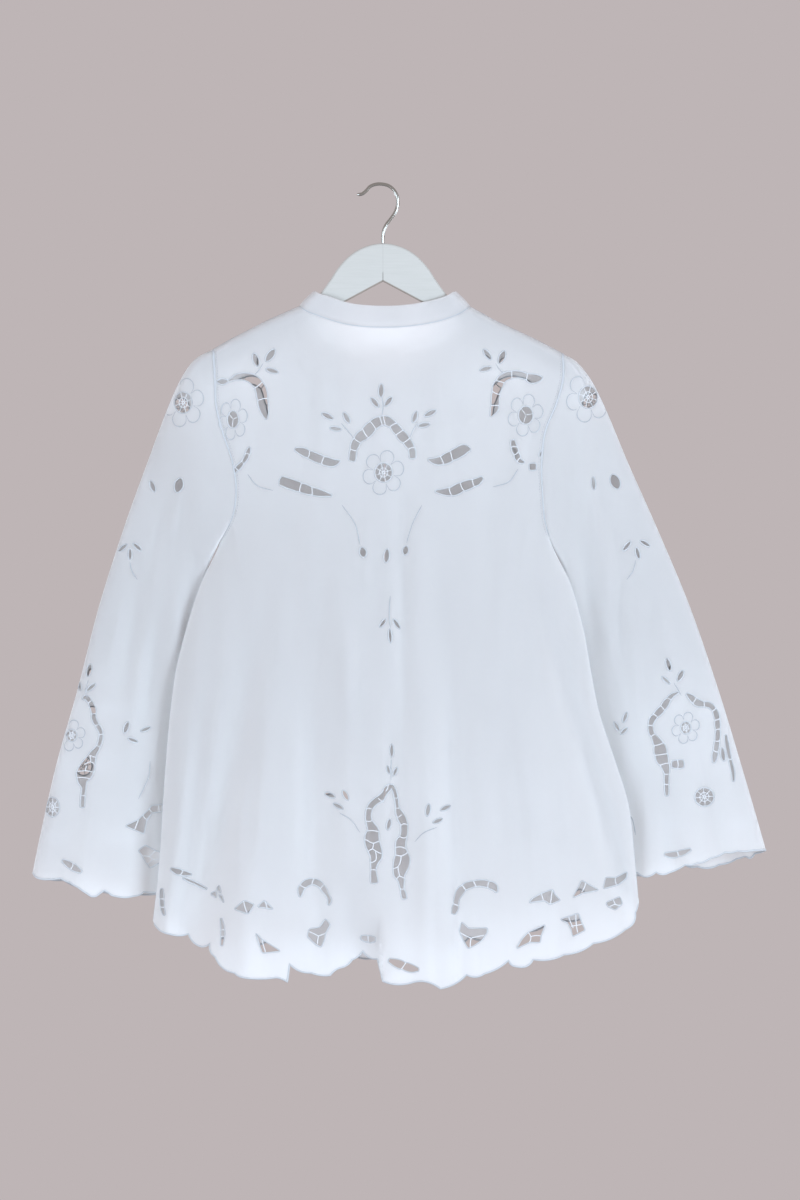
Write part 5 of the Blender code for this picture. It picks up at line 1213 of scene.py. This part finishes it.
# Threads that cross the openings, as lines of the view with their thickness
def threadLines(name):
    chance = np.random.RandomState(sum(ord(letter) for letter in name))
    lines = []
    for shares, route in bands[name]:
        line, across, half, along = bandLine(route)
        for share in shares:
            i = int(round(share * (len(line) - 1)))
            reach = half[i] + panelLook["barOver"]
            slant, bow = chance.uniform(-0.3, 0.3) * reach, chance.uniform(-1.1, 1.1)
            u = np.linspace(-1, 1, 7)[:, None]
            bar = line[i] + across[i] * u * reach + along[i] * (slant * u + bow * (1 - u * u))
            lines.append((bar, 1.0))
    lines += [(smoothLine(line, 1.5), 1.0) for line in webs.get(name, ())]
    for corners, bars in shields[name]:
        for x1, z1, x2, z2 in bars:
            t = np.linspace(0, 1, 6)[:, None]
            bow = chance.uniform(-0.8, 0.8)
            side = unit(np.array([z2 - z1, x1 - x2]))
            bar = np.array([x1, z1]) + np.array([x2 - x1, z2 - z1]) * t + side * bow * 4 * t * (1 - t)
            lines.append((bar, 1.0))
    for x, z, halfWidth, halfHeight, spokes, _ in wheels[name]:
        start = chance.uniform(0, 1)
        size = np.array([halfWidth, halfHeight])
        for i in range(spokes):
            turn = start + 2 * math.pi * i / spokes
            reach = np.linspace(*panelLook["spokeReach"], 6)[:, None]
            spoke = np.array([x, z]) + reach * size * np.array([math.cos(turn), math.sin(turn)])
            lines.append((spoke, panelLook["spokeWidth"]))
    return lines


def wheelRings(name):
    rings = []
    for x, z, halfWidth, halfHeight, spokes, _ in wheels[name]:
        for share in (panelLook["rings"] if spokes > 4 else ()):
            rings.append(roundLoop(x, z, halfWidth * share, halfHeight * share, cutLook["ringPoints"]))
    return rings


# A flower of satin petals round a wheel
def petals(x, z, halfWidth, halfHeight):
    lines = []
    count, gap = panelLook["petals"], panelLook["petalGap"]
    t = np.linspace(-1, 1, 15)
    reach = 1.0 + panelLook["petalLength"] * np.sqrt(np.maximum(1 - t * t, 0))
    for i in range(count):
        spread = 2 * math.pi * (i + panelLook["petalTurn"]) / count + t * math.pi / count
        lines.append(np.stack([x + (halfWidth + gap) * reach * np.cos(spread),
                               z + (halfHeight + gap) * reach * np.sin(spread)], -1))
    return lines


# A line's width along it: it thins out over its first and last points
def tapered(count):
    return 0.35 + 0.65 * ease(np.minimum(np.arange(count), np.arange(count)[::-1]) / 2.5)


def layThread(name, routes, halfWidth, halfHeight, sides, material):
    return runTree(name, routes, laidThread, {"Half width": halfWidth * mm, "Half height": halfHeight * mm,
                                              "Sides": sides, "Material": material})


# Makes a panel's cloth, edging, threads and satin lines
def dressPanel(name, cloth, outline, edgeView, spacing):
    loops = openings(name)
    holes = toPatterns(cloth, loops)
    shell = clothShell(name + "Cloth", cloth, outline, holes, spacing)
    routes = [(points, facing, 1.0, True)
              for points, facing in onCloth(cloth, [widen(loop, panelLook["edgeOut"]) for loop in loops])]
    for line in edgeView:
        at = np.array(line)
        normals = clothNormals(cloth, at)
        routes.append((cloth.place(at[:, 0], at[:, 1]), normals,
                       panelLook["hemHalfWidth"] / panelLook["edgingHalfWidth"], False))
    edging = layThread(name + "Edging", routes, panelLook["edgingHalfWidth"], panelLook["edgingHalfHeight"],
                       8, edgeThread)
    lines = threadLines(name)
    laid = onCloth(cloth, [line for line, _ in lines])
    routes = [(points, facing, width, False) for (points, facing), (_, width) in zip(laid, lines)]
    routes += [(points, facing, panelLook["ringWidth"], True)
               for points, facing in onCloth(cloth, wheelRings(name))]
    threads = layThread(name + "Threads", routes, panelLook["barHalf"], panelLook["barHalf"], 6, barThread)
    pieces = [edging, threads]
    lines = [smoothLine(line, 2.0) for _, line in satinLines[name]]
    for x, z, halfWidth, halfHeight, _, flower in wheels[name]:
        if flower:
            lines += petals(x, z, halfWidth, halfHeight)
    routes = [(points, facing, tapered(len(points)), False)
              for points, facing in onCloth(cloth, lines, jacketForm["wall"] / 2)]
    if routes:
        pieces.append(layThread(name + "Satin", routes, panelLook["satinHalfWidth"],
                                panelLook["satinHalfHeight"], 6, satinThread))
    print(name, "cloth", len(shell.data.polygons), "edging", len(edging.data.polygons))
    return shell, pieces


# steps along the outlines, and heights where side seams and centre front begin and end
outlineLook = {
    "step": 3.2, "neckStep": 3.0, "sleeveStep": 0.006, "armholePoints": 76,
    "sideTop": -391, "leftFoot": -812, "rightFoot": -781, "neckFoot": -216, "centreTop": -218,
}
shares = np.linspace(0, 1, outlineLook["armholePoints"])


def armholePattern(cloth, hand):
    return toPattern(cloth, np.stack(armholeView(hand, shares), -1))


def shoulderPattern(cloth, fromX, toX):
    count = max(3, int(abs(toX - fromX) / outlineLook["step"]))
    xs = np.linspace(fromX, toX, count)[1:-1]
    return toPattern(cloth, np.stack([xs, shoulderHeight(xs)], -1))


def sidePattern(cloth, hand):
    foot = outlineLook["leftFoot" if hand < 0 else "rightFoot"]
    return cloth.edge(hand, np.arange(outlineLook["sideTop"], foot, -outlineLook["step"]))


def backOutline(cloth):
    neck = smoothLine(jacketForm["neckBack"], outlineLook["neckStep"])
    leftTop, rightTop = jacketForm["armhole"][-1][1:]
    hem = toPattern(cloth, scallops(scallopedEdges["backHem"])[1:-1])
    parts = [armholePattern(cloth, -1)[::-1], shoulderPattern(cloth, leftTop, neck[0][0]),
             toPattern(cloth, neck), shoulderPattern(cloth, neck[-1][0], rightTop),
             armholePattern(cloth, 1), sidePattern(cloth, 1), hem[::-1], sidePattern(cloth, -1)[::-1]]
    return np.concatenate(parts), hem


def frontOutline(cloth, hand):
    middle = jacketForm["centreFront"] + hand * jacketForm["frontGap"] / 2
    neck = smoothLine(jacketForm["neckFront"], outlineLook["neckStep"])
    neck = neck[neck[:, 0] < middle - 1][::-1] if hand < 0 else neck[neck[:, 0] > middle + 1]
    neck = np.concatenate([[(middle, outlineLook["neckFoot"])], neck])
    top = jacketForm["armhole"][-1][1 if hand < 0 else 2]
    end = scallopedEdges["backHem"][0 if hand < 0 else -1]
    drop = scallopedEdges["frontDrop"]
    rows = plainScallops(end[:2], (middle, scallopedEdges["frontLow"] + drop), drop)
    hem = toPattern(cloth, scallops(rows)[1:])
    foot = float(cloth.place(hem[-1, 0], hem[-1, 1])[2])
    levels = np.arange(foot + 3, outlineLook["centreTop"], outlineLook["step"])
    centre = toPattern(cloth, [(middle, z) for z in levels])
    parts = [toPattern(cloth, neck), shoulderPattern(cloth, neck[-1][0], top),
             armholePattern(cloth, hand), sidePattern(cloth, hand), hem, centre]
    return np.concatenate(parts), hem


def sleeveOutline(cloth, cuffLine):
    cuff = cloth.cuff(cuffLine)
    top = np.stack([np.zeros(len(shares)), shares], -1)
    step = outlineLook["sleeveStep"]
    inner, outer = [np.arange(step, end - step * 2 / 3, step) for end in (cuff[-1, 0], cuff[0, 0])]
    parts = [top, np.stack([inner, np.ones(len(inner))], -1), cuff[::-1],
             np.stack([outer, np.zeros(len(outer))], -1)[::-1]]
    return np.concatenate(parts), cuff


backBody = BodyCloth(-1, "back")
frontBody = BodyCloth(1, "front")
made = {}
print("making the back")
outline, hem = backOutline(backBody)
made["back"] = dressPanel("back", backBody, outline, [hem], panelLook["spacing"])
for name, hand in (("frontLeft", -1), ("frontRight", 1)):
    print("making", name)
    outline, hem = frontOutline(frontBody, hand)
    made[name] = dressPanel(name, frontBody, outline, [hem], panelLook["spacing"])
for name, hand, side, body in (("leftBack", -1, -1, backBody), ("leftFront", -1, 1, frontBody),
                               ("rightBack", 1, -1, backBody), ("rightFront", 1, 1, frontBody)):
    print("making sleeve", name)
    sleeve = SleeveCloth(side, hand, body)
    rows = scallopedEdges[sleeve.name + ("Cuff" if side < 0 else "FrontCuff")]
    outline, cuff = sleeveOutline(sleeve, scallops(rows))
    made[name] = dressPanel(name, sleeve, outline, [cuff], panelLook["sleeveSpacing"])


collarLook = {
    "height": 24.0, "thick": 2.0, "leanBack": 0.12, "leanFront": -0.2,
    "neckHalf": 95.0, "rows": 9, "step": 3.0, "bulge": 0.5,
    "foot": 0.05, "footShare": 0.55,     # gap to the neckline, and the foot's share of the thickness
    "waves": ((0.35, 0.37), (0.25, 0.91)),     # height, and turn from point to point
}


# Points along the neckline, from one front edge round the back to the other
def neckFeet():
    middle, half = jacketForm["centreFront"], jacketForm["frontGap"] / 2
    front = smoothLine(jacketForm["neckFront"], collarLook["step"])
    back = smoothLine(jacketForm["neckBack"], collarLook["step"])
    left = front[front[:, 0] < middle - 1][1:]
    right = front[front[:, 0] > middle + 1][:-1]
    left = np.concatenate([left, [(middle - half, outlineLook["neckFoot"])]])[::-1]
    right = np.concatenate([[(middle + half, outlineLook["neckFoot"])], right])[::-1]
    feet = []
    for cloth, view in ((frontBody, left), (backBody, back), (frontBody, right)):
        at = toPattern(cloth, view)
        feet.append(cloth.place(at[:, 0], at[:, 1]))
    return np.concatenate(feet)


def collarPiece():
    feet = neckFeet()
    lean = (feet[:, 0] - jacketForm["centreFront"]) / collarLook["neckHalf"]
    tilt = np.where(feet[:, 1] < 0, collarLook["leanBack"], collarLook["leanFront"])
    ups = unit(np.stack([-lean ** 3, tilt * (1 - np.abs(lean)), np.ones(len(feet))], -1))
    along = unit(np.gradient(feet, axis=0))
    out = unit(np.cross(along, ups))
    if out[len(feet) // 2][1] > 0:
        out = -out
    height, half, foot = collarLook["height"], collarLook["thick"] / 2, collarLook["foot"]
    outer, inner, top = [], [], []
    for i in range(collarLook["rows"] + 1):
        t = i / collarLook["rows"]
        up = foot + (height - half - foot) * t
        side = half * (collarLook["footShare"] + (1 - collarLook["footShare"]) * float(ease(t * 4)))
        outer.append((up, side + collarLook["bulge"] * math.sin(math.pi * t)))
        inner.append((up, -side))
    for turn in (45, 90, 135):
        angle = math.radians(turn)
        top.append((height - half + half * math.sin(angle), half * math.cos(angle)))
    profile = outer + top + inner[::-1]
    wave = sum(rise * np.sin(np.arange(len(feet)) * turn) for rise, turn in collarLook["waves"])
    rows = [feet + ups * up + out * (side + wave * up / height)[:, None] for up, side in profile]
    count, size = len(profile), len(feet)
    points = np.stack(rows, 1).reshape(-1, 3)
    faces = []
    for i in range(size - 1):
        for j in range(count):
            k = (j + 1) % count
            faces.append((i * count + j, (i + 1) * count + j, (i + 1) * count + k, i * count + k))
    faces.append(tuple(range(count)))
    faces.append(tuple((size - 1) * count + j for j in reversed(range(count))))
    mesh = bpy.data.meshes.new("collarBand")
    mesh.from_pydata((points * mm).tolist(), [], faces)
    turnOutwards(mesh)
    mesh.shade_smooth()
    mesh.set_sharp_from_angle(angle=math.radians(60))
    length = np.concatenate([[0], np.cumsum(np.linalg.norm(np.diff(feet, axis=0), axis=1))])
    ups = np.array([up for up, _ in profile])
    addUvs(mesh, np.stack(np.meshgrid(length, ups, indexing="ij"), -1).reshape(-1, 2) * mm)
    mesh.materials.append(collarShadedLinen)
    return addPiece("collarBand", mesh), feet, out


print("making the collar")
collar, feet, collarOut = collarPiece()

hangerLook = {
    "middle": 1.0, "thickness": 10.0, "round": 3.0, "steps": 5, "endHeight": 19, "underside": -105.6,
    "leftEnd": -198, "rightEnd": 206, "tip": 7, "shadedBelow": -0.35,
    # distance from the middle, z
    "top": ((0, -63.2), (12, -64.7), (25, -69.3), (37.5, -77.5), (49, -89.8), (59, -104.8),
            (68.5, -117.8), (79, -129.8)),
    # distance from the middle, clearance under the cloth's top line
    "clearance": ((93, 5.0), (112, 2.2), (165, 2.2), (200, 6.0)),
    "wire": 1.9,
    "hook": ((-27.5, -9.6), (-22.0, -8.9), (-17.5, -5.4), (-13.0, -0.6), (-6.5, 1.8), (0.5, 1.9),
             (7.5, 0.0), (13.5, -5.2), (17.0, -12.5), (17.3, -20.5), (14.6, -29.0), (9.4, -36.6),
             (4.6, -43.0), (1.8, -49.5), (1.0, -56.0), (1.0, -62.9)),
}


def armTop(x):
    table = hangerLook["clearance"]
    return float(shoulderHeight(x) - np.interp(abs(x), column(table, 0), column(table, 1)))


def hangerPiece():
    middle = hangerLook["middle"]
    top = smoothLine([(-dx, z) for dx, z in hangerLook["top"][:0:-1]] + list(hangerLook["top"]), 3.0)
    outline = [(middle + x, z) for x, z in top]
    rightEnd, leftEnd = hangerLook["rightEnd"], hangerLook["leftEnd"]
    right = [(x, armTop(x)) for x in np.arange(95, rightEnd - 6, 5)]
    left = [(x, armTop(x)) for x in np.arange(-93, leftEnd + 6, -5)]
    outline = left[::-1] + outline + right
    reach, low = hangerLook["tip"], hangerLook["endHeight"] / 2
    for end, sign in ((rightEnd, 1), (leftEnd, -1)):
        height = armTop(end - sign * 5)
        tip = []
        for i in range(13):
            turn = math.pi * i / 12
            tip.append((end + sign * reach * (math.sin(turn) - 1), height + low * (math.cos(turn) - 1)))
        outline = outline + tip if sign > 0 else tip[::-1] + outline
    under = straightLine([outline[-1], (middle, hangerLook["underside"]), outline[0]], 8)
    loop = np.concatenate([outline, under[1:-1]])
    ahead, behind = np.roll(loop, -1, axis=0), np.roll(loop, 1, axis=0)
    alongIn, alongOut = unit(loop - behind), unit(ahead - loop)
    along = alongIn + alongOut
    inward = np.stack([along[:, 1], -along[:, 0]], -1)
    half = np.maximum(np.linalg.norm(inward, axis=1, keepdims=True) / 2, 0.5)
    depth, curve, steps = hangerLook["thickness"] / 2, hangerLook["round"], hangerLook["steps"]
    layers = []
    for i in range(steps + 1):
        turn = math.pi / 2 * i / steps
        layers.append((curve * (1 - math.sin(turn)), -depth + curve * (1 - math.cos(turn))))
    layers += [(inset, -y) for inset, y in layers[::-1]]
    rings = [np.stack([*(loop + unit(inward) * inset / half).T, np.full(len(loop), y)], -1)
             for inset, y in layers]
    points = np.concatenate(rings)[:, [0, 2, 1]]
    count = len(loop)
    faces = []
    for layer in range(len(layers) - 1):
        for i in range(count):
            a, b = layer * count + i, layer * count + (i + 1) % count
            faces.append((a, b, b + count, a + count))
    last = (len(layers) - 1) * count
    flatLoop = rings[0][:, :2]
    result = delaunay_2d_cdt([Vector(p) for p in flatLoop], [(i, (i + 1) % count) for i in range(count)],
                             [], 0, 1e-7)
    flat = np.array([tuple(p) for p in result[0]])
    for face in result[2]:
        if inside(flat[list(face)].mean(axis=0)[None, :], flatLoop)[0]:
            ids = [result[3][i][0] for i in face]
            faces += [tuple(ids), tuple(i + last for i in reversed(ids))]
    mesh = bpy.data.meshes.new("hangerBody")
    mesh.from_pydata((points * mm).tolist(), [], faces)
    turnOutwards(mesh)
    mesh.shade_smooth()
    mesh.set_sharp_from_angle(angle=math.radians(42))
    # painted shade: faces that look down are marked to be painted a darker beige, standing in for the shade
    # under the hanger
    below = np.array([normal.vector[2] for normal in mesh.corner_normals]) < hangerLook["shadedBelow"]
    corner = np.zeros(len(mesh.loops), int)
    mesh.loops.foreach_get("vertex_index", corner)
    paintedUnderShade = mesh.attributes.new("paintedUnderShade", "FLOAT", "POINT")
    share = np.zeros(len(mesh.vertices), np.float32)
    share[corner[below]] = 1.0
    paintedUnderShade.data.foreach_set("value", share)
    mesh.materials.append(beech)
    return addPiece("hangerBody", mesh)


print("making the hanger")
hanger = hangerPiece()
hookLine = smoothLine(hangerLook["hook"], 1.2)
hookPoints = np.stack([hookLine[:, 0], np.zeros(len(hookLine)), hookLine[:, 1]], -1)
hookFacing = np.tile([0.0, -1.0, 0.0], (len(hookLine), 1))
hookThick = 1 - 0.45 * (1 - ease(np.arange(len(hookLine)) / 2.0))
hook = layThread("hangerHook", [(hookPoints, hookFacing, hookThick, False)],
                 hangerLook["wire"], hangerLook["wire"], 20, chrome)

print("sewing")
stitchLook = {"pitch": 3.0, "length": 2.3, "width": 0.42, "height": 0.3, "beside": 3.2,
              "fromCentre": 6, "fellHalfWidth": 1.3, "fellHalfHeight": 0.28}


# Felled seams, which lie flat over each join: armholes, shoulders, sides and collar foot
def felledRoutes():
    routes = []
    lift = jacketForm["wall"] / 2 - 0.1
    along = np.linspace(0.004, 0.975, 70)
    for body in (backBody, frontBody):
        for hand in (-1, 1):
            points = armholePoint(body, hand, along)
            facing = clothNormals(body, body.pattern(*armholeView(hand, along)))
            routes.append((points + facing * lift, facing, 1.0, False))
    leftTop, rightTop = jacketForm["armhole"][-1][1:]
    neck = jacketForm["neckBack"]
    for start, end in ((leftTop, neck[0][0] - 1), (neck[-1][0] + 1, rightTop)):
        x = np.linspace(start, end, 34)
        points = np.stack([x, np.zeros(34), shoulderHeight(x) + lift], -1)
        routes.append((points, np.tile([0.0, 0.0, 1.0], (34, 1)), 1.0, False))
    for hand, foot in ((-1, -812), (1, -784)):
        at = backBody.edge(hand, np.arange(-394, foot, -4.0))
        points = backBody.place(at[:, 0], at[:, 1])
        points[:, 0] += hand * lift
        points[:, 1] = 0
        routes.append((points, np.tile([hand, 0.0, 0.0], (len(points), 1)), 1.0, False))
    routes.append((feet + collarOut * 0.5, collarOut, 0.55, False))
    return routes


felledSeams = layThread("felledSeams", felledRoutes(), stitchLook["fellHalfWidth"],
                        stitchLook["fellHalfHeight"], 10, satinThread)


# Rows of stitches beside the armholes and down both edges of the centre front
def sewingRoutes():
    armholes = []
    for hand in (-1, 1):
        x, z = armholeView(hand, np.linspace(0.03, 0.96, 60))
        armholes.append(np.stack([x - hand * stitchLook["beside"], z], -1))
    edges = [np.array([(jacketForm["centreFront"] + hand * stitchLook["fromCentre"], z)
                       for z in np.arange(-835, -222, 4)]) for hand in (-1, 1)]
    lift = jacketForm["wall"] / 2
    return [(points, facing, 1.0, False)
            for cloth, lines in ((backBody, armholes), (frontBody, armholes + edges))
            for points, facing in onCloth(cloth, lines, lift)]


seamStitches = runTree("seamStitches", sewingRoutes(), sewnStitches, {
    "Pitch": stitchLook["pitch"] * mm, "Length": stitchLook["length"] * mm,
    "Width": stitchLook["width"] * mm, "Height": stitchLook["height"] * mm, "Seed": 3,
    "Material": satinThread})

# camera and floor in millimetres, lamps in metres: place, target, width and height, watts
studioLook = {
    "middle": (19.8, -456.5), "height": 1320.0, "distance": 14000.0, "plane": -30.0,
    "backdrop": "#BEB5B6", "floor": -1620.0, "floorRadius": 1500.0, "floorCorners": 48,
    "lampColour": "#DBEEFF",
    "lamps": {
        "keyLamp": ((2.2, -2.4, -0.3), (0.05, 0, -0.55), (1.6, 1.6), 78.0),
        "fillLamp": ((-2.1, -2.3, -0.5), (0, 0, -0.55), (2.0, 2.0), 52.0),
        "backRightLamp": ((2.2, 2.1, -0.95), (0, 0, -0.6), (1.4, 0.7), 20.0),
        "backLeftLamp": ((-2.2, 2.1, -0.95), (0, 0, -0.6), (1.4, 0.7), 20.0),
    },
}


def addCamera():
    camera = bpy.data.cameras.new("camera")
    camera.sensor_width = 36.0
    camera.lens = 36.0 * (studioLook["distance"] + studioLook["plane"]) / studioLook["height"]
    camera.clip_end = 50.0
    thing = addPiece("camera", camera)
    x, z = studioLook["middle"]
    thing.location = (x * mm, -studioLook["distance"] * mm, z * mm)
    thing.rotation_euler = (math.pi / 2, 0, 0)
    bpy.context.scene.camera = thing


def addLamp(name, place, target, size, power):
    lamp = bpy.data.lights.new(name, "AREA")
    lamp.shape = "RECTANGLE"
    lamp.size, lamp.size_y = size
    lamp.energy = power
    lamp.color = linearColour(studioLook["lampColour"])[:3]
    thing = addPiece(name, lamp)
    thing.location = place
    thing.rotation_euler = (Vector(target) - Vector(place)).to_track_quat("-Z", "Y").to_euler()
    thing.visible_camera = False


def addStage():
    world = bpy.data.worlds.new("studio")
    world.use_nodes = True
    world.node_tree.nodes["Background"].inputs["Color"].default_value = linearColour(studioLook["backdrop"])
    bpy.context.scene.world = world
    count, radius = studioLook["floorCorners"], studioLook["floorRadius"] * mm
    turns = [2 * math.pi * i / count for i in range(count)]
    ring = [(radius * math.cos(turn), radius * math.sin(turn), studioLook["floor"] * mm) for turn in turns]
    mesh = bpy.data.meshes.new("studioFloor")
    mesh.from_pydata(ring, [], [tuple(range(count))])
    mesh.materials.append(floorPaint)
    addPiece("studioFloor", mesh)


print("lighting the studio")
addCamera()
for name, row in studioLook["lamps"].items():
    addLamp(name, *row)
addStage()
bpy.context.scene.view_settings.view_transform = "Standard"

# node, flat width and length in metres, flat area
cuts = {
    "back": ("back", (0.60, 0.76), 0.331),
    "frontLeft": ("front_left", (0.31, 0.74), 0.155),
    "frontRight": ("front_right", (0.31, 0.74), 0.157),
    "leftBack": ("sleeve_left_back", (0.22, 0.60), 0.074),
    "leftFront": ("sleeve_left_front", (0.22, 0.60), 0.072),
    "rightBack": ("sleeve_right_back", (0.22, 0.58), 0.075),
    "rightFront": ("sleeve_right_front", (0.22, 0.58), 0.073),
}
for name, (shell, pieces) in made.items():
    node, flat, area = cuts[name]
    for piece in [shell] + pieces:
        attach(piece, "root")
    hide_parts(node)
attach(collar, "root")
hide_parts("collar")
for piece in (felledSeams, seamStitches):
    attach(piece, "root")
for piece, node, slot in ((hanger, "hanger_wood", "wood"), (hook, "hanger_hook", "chrome")):
    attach(piece, "root")
    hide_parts(node)
